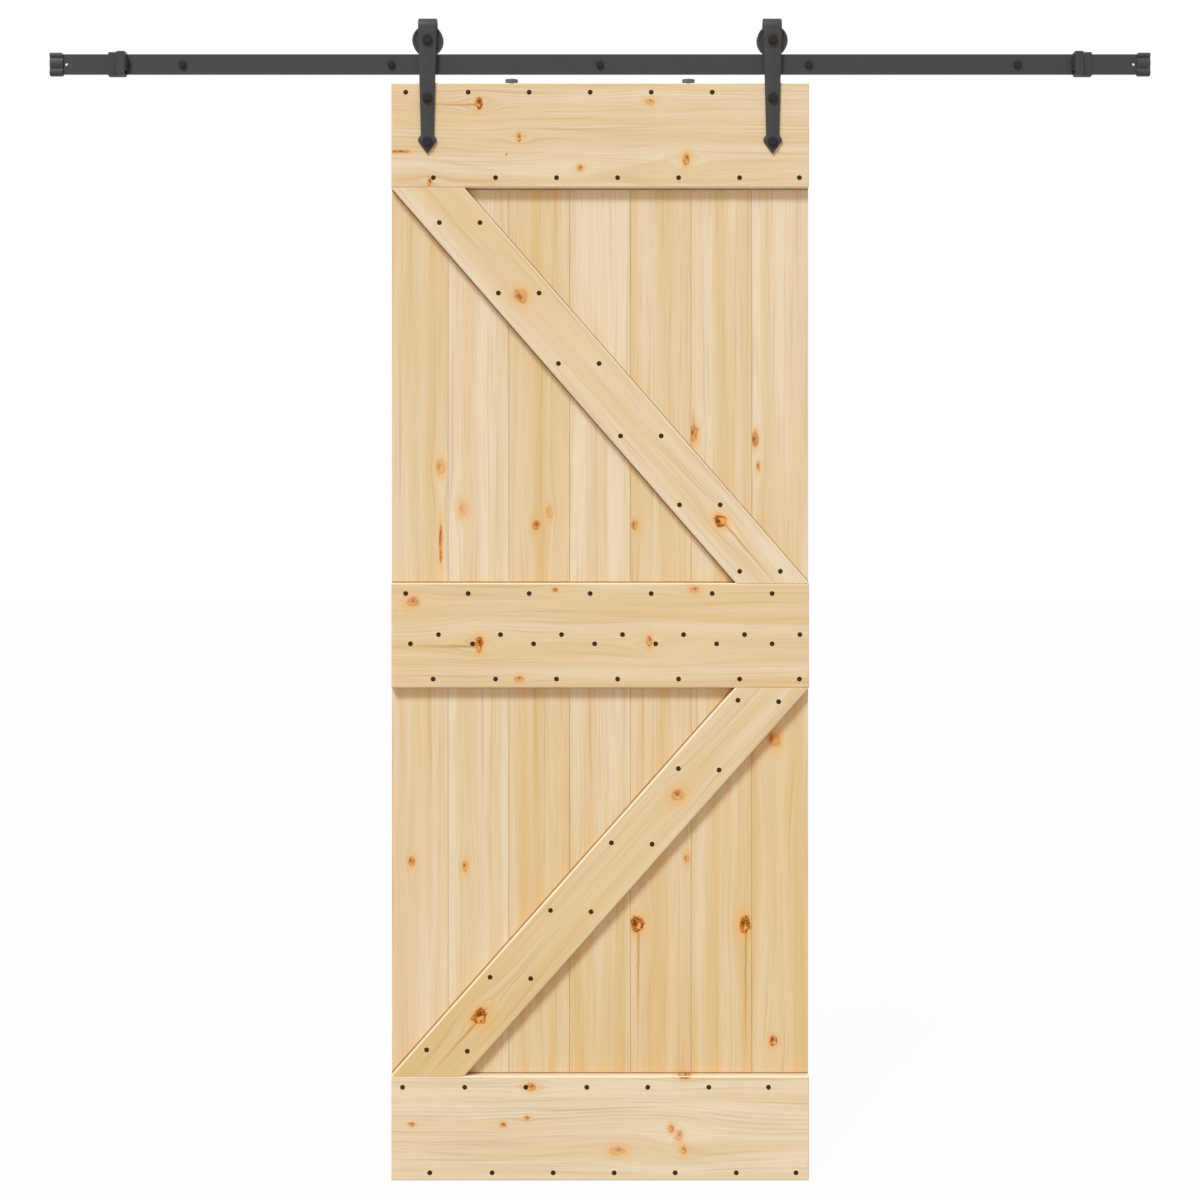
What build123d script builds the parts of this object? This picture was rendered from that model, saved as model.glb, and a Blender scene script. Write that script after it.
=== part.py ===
from build123d import *
from math import asin, atan2, hypot, sin
import os

# Sliding barn door: a braced pine leaf that hangs from a flat steel track by two strap hangers.
# Millimetres. X runs along the track, Y into the wall, Z up.
# The origin is on the wall, on the axis of the middle wall bolt.

# Leaf: tongue-and-groove boards behind three rails and two diagonal braces
door_width = 800.0
door_height = 2100.0
board_count = 7
edge_board_width = 108.25
board_thickness = 20.0
board_joint_gap = 0.4
board_arris = 0.5
tongue_thickness = 6.0
tongue_length = 8.0
tongue_clearance = 0.3
rail_height = 200.0
rail_thickness = 20.0
rail_arris = 2.2
lower_opening = 743.0
brace_width = 105.5

# Countersunk wood screws, driven straight into the softwood
screw_head_radius = 4.7
screw_shank_radius = 1.9
screw_head_depth = 2.8
screw_length = 36.0
screw_proud = 0.2
screw_sides = 8

# Screw rows of each rail: height on the rail, then place across the first, inner and last boards
# The right-hand strap covers the place in the top row that has no screw
top_rail_screw_shares = [
    (0.910, 0.262, 0.339, None),
    (0.093, 0.750, 0.788, 0.828),
]
middle_rail_screw_shares = [
    (0.901, 0.262, 0.339, 0.346),
    (0.508, 0.842, 0.869, 0.837),
    (0.420, 0.346, 0.412, 0.346),
    (0.083, 0.748, 0.788, 0.828),
]
bottom_rail_screw_shares = [
    (0.894, 0.206, 0.283, 0.282),
    (0.076, 0.688, 0.732, 0.768),
]

# Screw pairs of each brace: depth in the opening, then place to the right of the brace's middle line,
# as a share of its level end cut
brace_pair_spacing = 77.8
upper_brace_pair_drop = 0.0
lower_brace_pair_drop = 2.7
upper_brace_pair_shares = [
    (0.089, 0.020), (0.267, -0.012), (0.445, -0.031), (0.628, -0.045), (0.802, -0.060), (0.970, -0.029),
]
lower_brace_pair_shares = [
    (0.034, -0.031), (0.210, -0.016), (0.401, -0.032), (0.575, -0.046), (0.747, -0.061), (0.934, -0.048),
]

# Track: a flat bar on five spacers
track_length = 2100.0
track_height = 38.4
track_thickness = 6.0
spacer_length = 32.0
spacer_radius = 10.0
spacer_bore_clearance = 0.3
wall_bolt_count = 5
wall_bolt_pitch = 400.0
wall_bolt_radius = 4.0
wall_bolt_head_across = 13.0
wall_bolt_head_height = 5.5
wall_thread_radius = 3.5
wall_thread_length = 40.0
wall_point_length = 10.0
wall_point_base = 3.2
wall_point_end = 0.6
track_hole_clearance = 0.25
end_hole_radius = 2.75
end_hole_inset = 27.0

# End caps of the track
cap_cover = 21.0
cap_end_wall = 4.2
cap_side_wall = 2.8
cap_front_wall = 1.5
cap_rib_height = 3.0
cap_back_wall = 3.5
cap_corner = 3.0
cap_fit = 0.15
cap_groove_shares = (0.312, 0.782)

# Stops: a block clamped round the track by grub screws, with a rubber bumper
stop_inset = 108.1
stop_collar_length = 17.5
stop_collar_top = 3.5
stop_head_length = 15.8
stop_head_top = 4.2
stop_bottom = 3.7
stop_front = 12.0
stop_collar_setback = 8.0
stop_back = 6.0
stop_corner = 3.0
stop_fit = 0.2
bumper_length = 5.5
bumper_width = 10.0
bumper_top = 13.0
bumper_bottom = 14.0
bumper_groove = 2.0
bumper_groove_share = 0.32
bumper_edge = 1.5
bumper_stem_radius = 3.0
bumper_stem_length = 7.0
bumper_stem_clearance = 0.1
grub_radius = 3.0
grub_clearance = 0.05
grub_proud = 1.0
grub_spread = 20.0
grub_socket_across = 3.0
grub_socket_depth = 2.5

# Wheels: grooved to straddle the track, on sealed ball bearings
wheel_flange_radius = 29.4
wheel_groove_radius = 25.7
wheel_width = 18.0
wheel_groove_width = 8.0
wheel_side_gap = 3.0
rolling_gap = 0.3
bearing_outer_radius = 13.0
bearing_width = 8.0
bearing_seat_clearance = 0.02
bearing_running_clearance = 0.05
bearing_side_gap = 0.3
axle_radius = 5.0
axle_hole_clearance = 0.15
axle_head_across = 17.0
axle_head_height = 6.4
axle_nut_height = 8.0
axle_end_proud = 1.5
sleeve_wall = 2.5
thread_clearance = 0.05

# Hanger straps: flat bar bent over the wheel, tapering down to an arrow head on the leaf
hanger_inset = 70.0
strap_thickness = 5.0
strap_top_width = 35.5
strap_neck_width = 24.8
axle_to_bend = 25.7
taper_drop = 2.2
arrow_width = 35.8
arrow_corner = 3.0
arrow_neck_rise = 11.9
arrow_barb_rise = 4.2
arrow_tip_drop = 23.6
arrow_tip_radius = 1.5
track_to_door = 18.0
upper_bolt_drop = 28.3
bolt_spacing = 84.4
bolt_radius = 5.0
bolt_hole_clearance = 0.25
bolt_head_across = 17.0
bolt_head_height = 6.4
bolt_end_inset = 1.0
sleeve_nut_radius = 6.5
sleeve_nut_length = 19.0
sleeve_nut_flange_radius = 10.0
sleeve_nut_flange = 2.5
sleeve_nut_slot = 2.0
sleeve_nut_slot_depth = 1.0
sleeve_hole_clearance = 0.1

# Anti-jump discs on the top edge of the leaf, placed in widths of an inner board from the middle
disc_cover_share = 1.4524
disc_radius = 12.0
disc_thickness = 8.0
disc_screw_head_radius = 4.5
disc_screw_head_depth = 2.6
disc_screw_radius = 2.4
disc_screw_length = 40.0
disc_screw_clearance = 0.05

# One overrun serves all cuts, and one number of sides all small round fasteners and their holes
overrun = 5.0
fastener_sides = 12

# Places that follow from the sizes
track_mid_y = -spacer_length - track_thickness / 2
track_front_y = -spacer_length - track_thickness
track_top_z = track_height / 2
track_end_x = track_length / 2
strap_gap = wheel_width + 2 * wheel_side_gap
leaf_front_y = track_mid_y - strap_gap / 2
boards_front_y = leaf_front_y + rail_thickness
leaf_back_y = boards_front_y + board_thickness
strap_front_y = leaf_front_y - strap_thickness
strap_rear_inner_y = track_mid_y + strap_gap / 2
strap_rear_y = strap_rear_inner_y + strap_thickness
axle_z = track_top_z + wheel_groove_radius + rolling_gap
bend_z = axle_z + axle_to_bend
door_top_z = -track_top_z - track_to_door
door_bottom_z = door_top_z - door_height
bottom_rail_z = door_bottom_z
middle_rail_z = door_bottom_z + rail_height + lower_opening
top_rail_z = door_top_z - rail_height
upper_opening = top_rail_z - middle_rail_z - rail_height
upper_bolt_z = door_top_z - upper_bolt_drop
lower_bolt_z = upper_bolt_z - bolt_spacing
hanger_x = door_width / 2 - hanger_inset
board_cover = (door_width - 2 * edge_board_width) / (board_count - 2)
disc_offset = disc_cover_share * board_cover
wall_bolt_xs = [(i - (wall_bolt_count - 1) / 2) * wall_bolt_pitch for i in range(wall_bolt_count)]
bearing_bore_radius = axle_radius + bearing_running_clearance
sides = {"left": -1, "right": 1}


def along_y(section, start_y, end_y):
    """Bar about the Y axis, from its section."""
    return Pos(0, end_y, 0) * Rot(90, 0, 0) * extrude(section, amount=end_y - start_y)


def round_bar(radius, start_y, end_y):
    """Truly round bar, for what runs, seats or shows."""
    return along_y(Circle(radius), start_y, end_y)


def plain_bar(radius, start_y, end_y):
    """Shank or tube of a small fastener, its few sides just inside its radius."""
    return along_y(RegularPolygon(radius, fastener_sides), start_y, end_y)


def plain_hole(radius, start_y, end_y):
    """Cut for a small fastener, its few sides just outside its radius."""
    return along_y(RegularPolygon(radius, fastener_sides, major_radius=False), start_y, end_y)


def hex_bar(across, start_y, end_y):
    """Six-sided bar with corners at top and bottom."""
    return along_y(RegularPolygon(across / 2, 6, major_radius=False, rotation=30), start_y, end_y)


def flat_cone(first_face, last_face):
    """Tapering bar with flat sides between two many-sided faces."""
    return ConvexPolyhedron([tuple(v) for v in first_face.vertices() + last_face.vertices()])


def board_span(index):
    """Left edge and cover width of one board, counted from the left."""
    inner_left = -door_width / 2 + edge_board_width + (index - 1) * board_cover
    if index == 0:
        return -door_width / 2, edge_board_width
    if index == board_count - 1:
        return inner_left, edge_board_width
    return inner_left, board_cover


def hanger_bolt_places():
    """The four places, in X and Z, where strap bolts pass through the leaf."""
    return [(side * hanger_x, z) for side in sides.values() for z in (upper_bolt_z, lower_bolt_z)]


def board(index):
    """One pine board, with a groove on its left edge and a tongue on its right."""
    left, width = board_span(index)
    first = index == 0
    last = index == board_count - 1
    x0 = left if first else left + board_joint_gap / 2
    x1 = left + width if last else left + width - board_joint_gap / 2
    front, back = boards_front_y, leaf_back_y
    middle = (front + back) / 2
    tongue = tongue_thickness / 2
    groove = tongue + tongue_clearance
    groove_x = x0 + tongue_length + tongue_clearance
    outline = [(x0 + board_arris, front), (x1 - board_arris, front), (x1, front + board_arris)]
    if not last:
        tip_x = x1 + tongue_length
        outline += [(x1, middle - tongue), (tip_x, middle - tongue)]
        outline += [(tip_x, middle + tongue), (x1, middle + tongue)]
    outline += [(x1, back - board_arris), (x1 - board_arris, back)]
    outline += [(x0 + board_arris, back), (x0, back - board_arris)]
    if not first:
        outline += [(x0, middle + groove), (groove_x, middle + groove)]
        outline += [(groove_x, middle - groove), (x0, middle - groove)]
    outline += [(x0, front + board_arris)]
    plank = extrude(make_face(Polyline(*outline, close=True)), amount=door_height)
    plank = Pos(0, 0, door_bottom_z) * plank
    hole_radius = sleeve_nut_radius + sleeve_hole_clearance
    for x, z in hanger_bolt_places():
        plank -= Pos(x, 0, z) * plain_hole(hole_radius, front - overrun, back + overrun)
    return plank


def front_panel(outline):
    """Flat timber in front of the boards, from its outline in X and Z."""
    face = Plane.XZ.offset(-boards_front_y) * make_face(Polyline(*outline, close=True))
    return extrude(face, amount=rail_thickness)


def rail(bottom_z):
    """Horizontal rail across the leaf, with its front edges eased."""
    half = door_width / 2
    top_z = bottom_z + rail_height
    panel = front_panel([(-half, bottom_z), (half, bottom_z), (half, top_z), (-half, top_z)])
    return chamfer(panel.faces().sort_by(Axis.Y)[0].edges(), rail_arris)


def top_rail():
    """Top rail, drilled for the strap bolts and for the screws of the anti-jump discs."""
    timber = rail(top_rail_z)
    for x, z in hanger_bolt_places():
        drill = plain_hole(bolt_radius + bolt_hole_clearance, leaf_front_y - overrun, leaf_back_y)
        timber -= Pos(x, 0, z) * drill
    pilot = RegularPolygon(disc_screw_radius + disc_screw_clearance, fastener_sides, major_radius=False)
    pilot = extrude(pilot, amount=disc_thickness - disc_screw_length)
    for side in sides.values():
        timber -= Pos(side * disc_offset, track_mid_y, door_top_z) * pilot
    return timber


def brace_cut(opening):
    """Length of a brace's level end cut, where it runs from corner to corner of an opening."""
    angle = atan2(opening, door_width) + asin(brace_width / hypot(door_width, opening))
    return brace_width / sin(angle)


def brace(bottom_z, opening, lean):
    """Diagonal brace whose top end is on the left (lean -1) or on the right (lean 1)."""
    half = door_width / 2
    inner = half - brace_cut(opening)
    top_z = bottom_z + opening
    outline = [(lean * half, top_z), (lean * inner, top_z)]
    outline += [(-lean * half, bottom_z), (-lean * inner, bottom_z)]
    panel = front_panel(outline)
    front_edges = panel.faces().sort_by(Axis.Y)[0].edges()
    return chamfer(front_edges.sort_by(SortBy.LENGTH)[-2:], rail_arris)


def wood_screw():
    """Countersunk wood screw with its head at the origin, pointing down, its shank tapering to a point."""
    head_face = RegularPolygon(screw_head_radius, screw_sides, major_radius=False)
    neck_face = RegularPolygon(screw_shank_radius, screw_sides, major_radius=False)
    neck_face = Pos(0, 0, -screw_head_depth) * neck_face
    neck = [tuple(v) for v in neck_face.vertices()]
    return flat_cone(neck_face, head_face) + ConvexPolyhedron([*neck, (0, 0, -screw_length)])


def screw_group(places):
    """Screws driven from the front at places in X and Z."""
    screw = Rot(90, 0, 0) * wood_screw()
    return Compound([Pos(x, leaf_front_y - screw_proud, z) * screw for x, z in places])


def rail_screw_places(bottom_z, rows):
    """Places of a rail's screws, one row after another."""
    places = []
    for height_share, first_share, inner_share, last_share in rows:
        row = [first_share] + [inner_share] * (board_count - 2) + [last_share]
        for index, share in enumerate(row):
            if share is not None:
                left, width = board_span(index)
                places.append((left + share * width, bottom_z + height_share * rail_height))
    return places


def brace_screw_places(bottom_z, opening, lean, pairs, drop):
    """Places of a brace's screws: pairs either side of its middle line, the right one lower by the drop."""
    cut = brace_cut(opening)
    places = []
    for depth_share, aside_share in pairs:
        x = lean * (door_width - cut) / 2 * (1 - 2 * depth_share) + aside_share * cut
        z = bottom_z + opening * (1 - depth_share)
        places.append((x - brace_pair_spacing / 2, z + drop / 2))
        places.append((x + brace_pair_spacing / 2, z - drop / 2))
    return places


def track_rail():
    """Flat track bar with its wall bolt holes and a small hole near each end."""
    bar = Pos(0, track_mid_y, 0) * Box(track_length, track_thickness, track_height)
    cut_from, cut_to = track_front_y - overrun, -spacer_length + overrun
    bolt_hole = plain_hole(wall_bolt_radius + track_hole_clearance, cut_from, cut_to)
    for x in wall_bolt_xs:
        bar -= Pos(x, 0, 0) * bolt_hole
    end_hole = round_bar(end_hole_radius, cut_from, cut_to)
    for side in sides.values():
        bar -= Pos(side * (track_end_x - end_hole_inset), 0, 0) * end_hole
    return bar


def wall_spacers():
    """Tubes that hold the track off the wall."""
    tube = plain_bar(spacer_radius, -spacer_length, 0)
    tube -= plain_hole(wall_bolt_radius + spacer_bore_clearance, -spacer_length - overrun, overrun)
    return Compound([Pos(x, 0, 0) * tube for x in wall_bolt_xs])


def wall_bolts():
    """Hex lag bolts: plain shank through track and spacer, threaded length and point in the wall."""
    bolt = hex_bar(wall_bolt_head_across, track_front_y - wall_bolt_head_height, track_front_y)
    bolt += plain_bar(wall_bolt_radius, track_front_y, 0)
    bolt += round_bar(wall_thread_radius, 0, wall_thread_length)
    tip_face = Pos(0, 0, wall_point_length) * RegularPolygon(wall_point_end, screw_sides)
    point = flat_cone(RegularPolygon(wall_point_base, screw_sides), tip_face)
    bolt += Pos(0, wall_thread_length, 0) * Rot(-90, 0, 0) * point
    return Compound([Pos(x, 0, 0) * bolt for x in wall_bolt_xs])


def end_cap(side):
    """Moulded cap over one end of the track, its front in three rounded ribs."""
    half = track_top_z + cap_side_wall
    valley_y = track_front_y - cap_front_wall
    crest_y = valley_y - cap_rib_height
    back_y = -spacer_length + cap_back_wall
    levels = [-half] + [half * (2 * share - 1) for share in cap_groove_shares] + [half]
    ribs = []
    for low, high in zip(levels, levels[1:]):
        ribs.append(ThreePointArc((valley_y, low), (crest_y, (low + high) / 2), (valley_y, high)))
    shell = Polyline((valley_y, half), (back_y, half), (back_y, -half), (valley_y, -half))
    section = Plane.YZ * make_face(Curve() + ribs + shell)
    inner_x = track_end_x - cap_cover
    cap = Pos(inner_x, 0, 0) * extrude(section, amount=cap_cover + cap_end_wall)
    mouth_edges = cap.edges().filter_by(Axis.Y).group_by(Axis.X)[0]
    cap = chamfer(mouth_edges, cap_corner)
    pocket = Box(cap_cover + overrun, track_thickness + 2 * cap_fit, track_height + 2 * cap_fit)
    cap -= Pos(track_end_x + cap_fit - (cap_cover + overrun) / 2, track_mid_y, 0) * pocket
    return cap if side > 0 else mirror(cap, about=Plane.YZ)


def stop_faces():
    """Outer end, step and inner face of a stop, as distances from the middle of the track."""
    outer_x = track_end_x - stop_inset
    step_x = outer_x - stop_collar_length
    return outer_x, step_x, step_x - stop_head_length


def stop_block(start_x, end_x, front, top):
    """Rectangular length of a stop, round the track."""
    low_z, high_z = -track_top_z - stop_bottom, track_top_z + top
    low_y, high_y = track_front_y - front, -spacer_length + stop_back
    block = Box(end_x - start_x, high_y - low_y, high_z - low_z)
    return Pos((start_x + end_x) / 2, (low_y + high_y) / 2, (low_z + high_z) / 2) * block


def bumper_y():
    """Middle of the bumper, in the path of the strap."""
    return track_front_y - stop_front + bumper_width / 2


def stop_body(side):
    """Stop on one end of the track, with its head towards the leaf."""
    outer_x, step_x, inner_x = stop_faces()
    head = stop_block(inner_x, step_x, stop_front, stop_head_top)
    lower_edge = head.edges().filter_by(Axis.Y).group_by(Axis.X)[0].sort_by(Axis.Z)[0]
    body = chamfer(lower_edge, stop_corner)
    body += stop_block(step_x, outer_x, stop_front - stop_collar_setback, stop_collar_top)
    slot = Box(track_length, track_thickness + 2 * stop_fit, track_height + 2 * stop_fit)
    body -= Pos(0, track_mid_y, 0) * slot
    socket = RegularPolygon(bumper_stem_radius + bumper_stem_clearance, fastener_sides, major_radius=False)
    socket = extrude(socket, amount=bumper_stem_length + bumper_stem_clearance)
    body -= Pos(inner_x, bumper_y(), 0) * Rot(0, 90, 0) * socket
    for x, z in grub_places():
        body -= Pos(x, 0, z) * plain_hole(grub_radius + grub_clearance, track_mid_y, overrun)
    return body if side > 0 else mirror(body, about=Plane.YZ)


def stop_bumper(side):
    """Rubber bumper with one groove across its face, pressed into the stop by a stem."""
    inner_x = stop_faces()[2]
    height = bumper_top + bumper_bottom
    face_x = inner_x - bumper_length
    pad = Box(bumper_length, bumper_width, height)
    pad = Pos(inner_x - bumper_length / 2, bumper_y(), (bumper_top - bumper_bottom) / 2) * pad
    pad = chamfer(pad.faces().sort_by(Axis.X)[0].edges(), bumper_edge)
    groove_z = -bumper_bottom + bumper_groove_share * height
    groove = Box(2 * bumper_groove, bumper_width + overrun, bumper_groove)
    pad -= Pos(face_x, bumper_y(), groove_z) * groove
    stem = extrude(RegularPolygon(bumper_stem_radius, fastener_sides), amount=bumper_stem_length)
    pad += Pos(inner_x, bumper_y(), 0) * Rot(0, 90, 0) * stem
    return pad if side > 0 else mirror(pad, about=Plane.YZ)


def grub_places():
    """Places of the two grub screws in the back of the right-hand stop."""
    outer_x, step_x, inner_x = stop_faces()
    middle_x = (outer_x + inner_x) / 2
    return [(middle_x, -grub_spread / 2), (middle_x, grub_spread / 2)]


def stop_grub_screws():
    """Grub screws that clamp both stops against the back of the track."""
    end_y = -spacer_length + stop_back + grub_proud
    grub = plain_bar(grub_radius, -spacer_length, end_y)
    grub -= hex_bar(grub_socket_across, end_y - grub_socket_depth, end_y + overrun)
    places = [(side * x, z) for side in sides.values() for x, z in grub_places()]
    return Compound([Pos(x, 0, z) * grub for x, z in places])


def wheel(side):
    """Wheel whose two flanges straddle the top edge of the track."""
    half = wheel_width / 2
    groove = wheel_groove_width / 2
    bore = bearing_outer_radius + bearing_seat_clearance
    outline = [(bore, -half), (wheel_flange_radius, -half), (wheel_flange_radius, -groove)]
    outline += [(wheel_groove_radius, -groove), (wheel_groove_radius, groove)]
    outline += [(wheel_flange_radius, groove), (wheel_flange_radius, half), (bore, half)]
    tread = revolve(make_face(Polyline(*outline, close=True)), axis=Axis.Y)
    return Pos(side * hanger_x, track_mid_y, axle_z) * tread


def wheel_bearing(side):
    """Sealed ball bearing in the middle of a wheel, running on the axle."""
    half = bearing_width / 2
    ring = round_bar(bearing_outer_radius, -half, half)
    ring -= round_bar(bearing_bore_radius, -half - overrun, half + overrun)
    return Pos(side * hanger_x, track_mid_y, axle_z) * ring


def at_axles(*solids):
    """One copy of each solid on each axle."""
    return Compound([Pos(side * hanger_x, 0, axle_z) * s for side in sides.values() for s in solids])


def axle_bolts():
    """Hex bolts that carry the wheels between the legs of the straps."""
    bolt = hex_bar(axle_head_across, strap_front_y - axle_head_height, strap_front_y)
    bolt += round_bar(axle_radius, strap_front_y, strap_rear_y + axle_nut_height + axle_end_proud)
    return at_axles(bolt)


def axle_nuts():
    """Nuts behind the rear legs of the straps."""
    nut = hex_bar(axle_head_across, strap_rear_y, strap_rear_y + axle_nut_height)
    bore = plain_hole(axle_radius + thread_clearance, strap_rear_y - overrun, 0)
    return at_axles(nut - bore)


def axle_sleeves():
    """Sleeves that keep each bearing midway between the legs of its strap."""
    bearing_half = bearing_width / 2 + bearing_side_gap
    bore = plain_hole(bearing_bore_radius, strap_front_y, strap_rear_y)
    outer_radius = axle_radius + sleeve_wall
    front = plain_bar(outer_radius, leaf_front_y, track_mid_y - bearing_half) - bore
    rear = plain_bar(outer_radius, track_mid_y + bearing_half, strap_rear_inner_y) - bore
    return at_axles(front, rear)


def strap_section():
    """Section of a strap in Y and Z: front leg, half-round bend over the wheel, rear leg."""
    inner = strap_gap / 2
    outer = inner + strap_thickness
    foot_z = lower_bolt_z - arrow_tip_drop
    toe_z = axle_z - strap_top_width / 2
    front_leg = Polyline((track_mid_y - inner, bend_z), (leaf_front_y, foot_z), (strap_front_y, foot_z),
                         (track_mid_y - outer, bend_z))
    outer_bend = ThreePointArc((track_mid_y - outer, bend_z), (track_mid_y, bend_z + outer),
                               (track_mid_y + outer, bend_z))
    rear_leg = Polyline((track_mid_y + outer, bend_z), (strap_rear_y, toe_z), (strap_rear_inner_y, toe_z),
                        (track_mid_y + inner, bend_z))
    inner_bend = ThreePointArc((track_mid_y + inner, bend_z), (track_mid_y, bend_z + inner),
                               (track_mid_y - inner, bend_z))
    return Plane.YZ * make_face(Curve() + [front_leg, outer_bend, rear_leg, inner_bend])


def strap_front_outline():
    """Front of a strap in X and Z: tapering leg, neck and arrow head with rounded barbs and tip."""
    top, neck, barb = strap_top_width / 2, strap_neck_width / 2, arrow_width / 2
    crown_z = bend_z + strap_gap
    tip_z = lower_bolt_z - arrow_tip_drop
    right = [(top, crown_z), (top, bend_z - taper_drop), (neck, lower_bolt_z + arrow_neck_rise)]
    right += [(barb, lower_bolt_z + arrow_barb_rise), (barb, lower_bolt_z)]
    left = [(-x, z) for x, z in reversed(right)]
    arrow = make_face(Polyline(*right, (0, tip_z), *left, close=True))
    tip_and_barbs = arrow.vertices().sort_by(Axis.Y)[:5]
    arrow = fillet(tip_and_barbs[1:], arrow_corner)
    return fillet(arrow.vertices().sort_by(Axis.Y)[0], arrow_tip_radius)


def strap_rear_outline():
    """Rear leg of a strap in X and Z: straight sides and a round end about the axle."""
    crown_z = bend_z + strap_gap
    leg = Pos(0, (axle_z + crown_z) / 2) * Rectangle(strap_top_width, crown_z - axle_z)
    return leg + Pos(0, axle_z) * Circle(strap_top_width / 2)


def hanger_strap(side):
    """Strap hanger, bent from one bar and drilled for the axle and two bolts."""
    bar = extrude(strap_section(), amount=arrow_width, both=True)
    reach = strap_gap
    mid_plane = Plane.XZ.offset(-track_mid_y)
    front = bar & extrude(mid_plane * strap_front_outline(), amount=reach)
    rear = bar & extrude(mid_plane * strap_rear_outline(), amount=-reach)
    strap = front + rear
    front_face_y = strap_front_y - overrun
    strap -= Pos(0, 0, axle_z) * plain_hole(axle_radius + axle_hole_clearance, front_face_y, 0)
    for z in (upper_bolt_z, lower_bolt_z):
        strap -= Pos(0, 0, z) * plain_hole(bolt_radius + bolt_hole_clearance, front_face_y, leaf_back_y)
    return Pos(side * hanger_x, 0, 0) * strap


def strap_bolts():
    """Hex bolts that hold the straps to the leaf."""
    bolt = hex_bar(bolt_head_across, strap_front_y - bolt_head_height, strap_front_y)
    bolt += plain_bar(bolt_radius, strap_front_y, leaf_back_y - bolt_end_inset)
    return Compound([Pos(x, 0, z) * bolt for x, z in hanger_bolt_places()])


def sleeve_nuts():
    """Slotted sleeve nuts let into the back of the leaf, one for each strap bolt."""
    back_y = leaf_back_y + sleeve_nut_flange
    nut = plain_bar(sleeve_nut_radius, leaf_back_y - sleeve_nut_length, leaf_back_y)
    nut += plain_bar(sleeve_nut_flange_radius, leaf_back_y, back_y)
    bore_radius = bolt_radius + thread_clearance
    nut -= plain_hole(bore_radius, leaf_back_y - sleeve_nut_length - overrun, leaf_back_y)
    slot = Box(2 * sleeve_nut_flange_radius + overrun, 2 * sleeve_nut_slot_depth, sleeve_nut_slot)
    nut -= Pos(0, back_y, 0) * slot
    return Compound([Pos(x, 0, z) * nut for x, z in hanger_bolt_places()])


def at_discs(solid):
    """One copy of a solid at each anti-jump disc, with its origin on the top edge of the leaf."""
    places = [Pos(side * disc_offset, track_mid_y, door_top_z) for side in sides.values()]
    return Compound([place * solid for place in places])


def countersunk(clearance):
    """Form of a disc's screw above the origin and down into the leaf, or of its hole with clearance."""
    radius, head_radius = disc_screw_radius + clearance, disc_screw_head_radius + clearance
    bar = RegularPolygon(radius, fastener_sides, major_radius=clearance == 0)
    head = RegularPolygon(head_radius, fastener_sides, major_radius=clearance == 0)
    shank = Pos(0, 0, disc_thickness) * extrude(bar, amount=-disc_screw_length)
    return shank + Pos(0, 0, disc_thickness) * extrude(head, amount=-disc_screw_head_depth)


def anti_jump_disc():
    """Disc under the track that stops the leaf from jumping off it, recessed for its screw."""
    disc = extrude(Circle(disc_radius), amount=disc_thickness)
    return disc - countersunk(disc_screw_clearance)


def leaf_nodes():
    """Timber of the leaf and the screws that hold it together."""
    nodes = {f"board_{index + 1}": board(index) for index in range(board_count)}
    nodes["top_rail"] = top_rail()
    nodes["middle_rail"] = rail(middle_rail_z)
    nodes["bottom_rail"] = rail(bottom_rail_z)
    rail_rows = {
        "top_rail": (top_rail_z, top_rail_screw_shares),
        "middle_rail": (middle_rail_z, middle_rail_screw_shares),
        "bottom_rail": (bottom_rail_z, bottom_rail_screw_shares),
    }
    for name, (bottom_z, rows) in rail_rows.items():
        nodes[f"{name}_screws"] = screw_group(rail_screw_places(bottom_z, rows))
    openings = {
        "upper_brace": (middle_rail_z + rail_height, upper_opening, -1),
        "lower_brace": (bottom_rail_z + rail_height, lower_opening, 1),
    }
    pairs = {
        "upper_brace": (upper_brace_pair_shares, upper_brace_pair_drop),
        "lower_brace": (lower_brace_pair_shares, lower_brace_pair_drop),
    }
    for name, span in openings.items():
        nodes[name] = brace(*span)
        nodes[f"{name}_screws"] = screw_group(brace_screw_places(*span, *pairs[name]))
    return nodes


def hanging_nodes():
    """Straps, wheels, axles, bolts and anti-jump discs."""
    nodes = {}
    for name, side in sides.items():
        nodes[f"hanger_strap_{name}"] = hanger_strap(side)
        nodes[f"wheel_{name}"] = wheel(side)
        nodes[f"wheel_bearing_{name}"] = wheel_bearing(side)
    nodes["axle_bolts"] = axle_bolts()
    nodes["axle_sleeves"] = axle_sleeves()
    nodes["axle_nuts"] = axle_nuts()
    nodes["strap_bolts"] = strap_bolts()
    nodes["sleeve_nuts"] = sleeve_nuts()
    nodes["anti_jump_discs"] = at_discs(anti_jump_disc())
    nodes["disc_screws"] = at_discs(countersunk(0))
    return nodes


def track_nodes():
    """Track bar with its spacers, wall bolts, stops and end caps."""
    nodes = {"track_rail": track_rail(), "wall_spacers": wall_spacers(), "wall_bolts": wall_bolts()}
    for name, side in sides.items():
        nodes[f"stop_body_{name}"] = stop_body(side)
        nodes[f"stop_bumper_{name}"] = stop_bumper(side)
        nodes[f"end_cap_{name}"] = end_cap(side)
    nodes["stop_grub_screws"] = stop_grub_screws()
    return nodes


def main():
    """Build every node and write one STEP file for each."""
    os.makedirs("parts", exist_ok=True)
    nodes = {**leaf_nodes(), **hanging_nodes(), **track_nodes()}
    for name, shape in nodes.items():
        export_step(shape, f"parts/{name}.step")


main()
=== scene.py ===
"""Dressed scene of a sliding barn door: pine leaf, strap hangers, wheels, track, stops and end caps.

Metres. X runs along the track, Y into the wall, Z up. The origin is on the middle wall bolt.
"""

import logging
import math
from dataclasses import dataclass, replace
from enum import Enum
from functools import cache
from typing import Union

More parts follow.
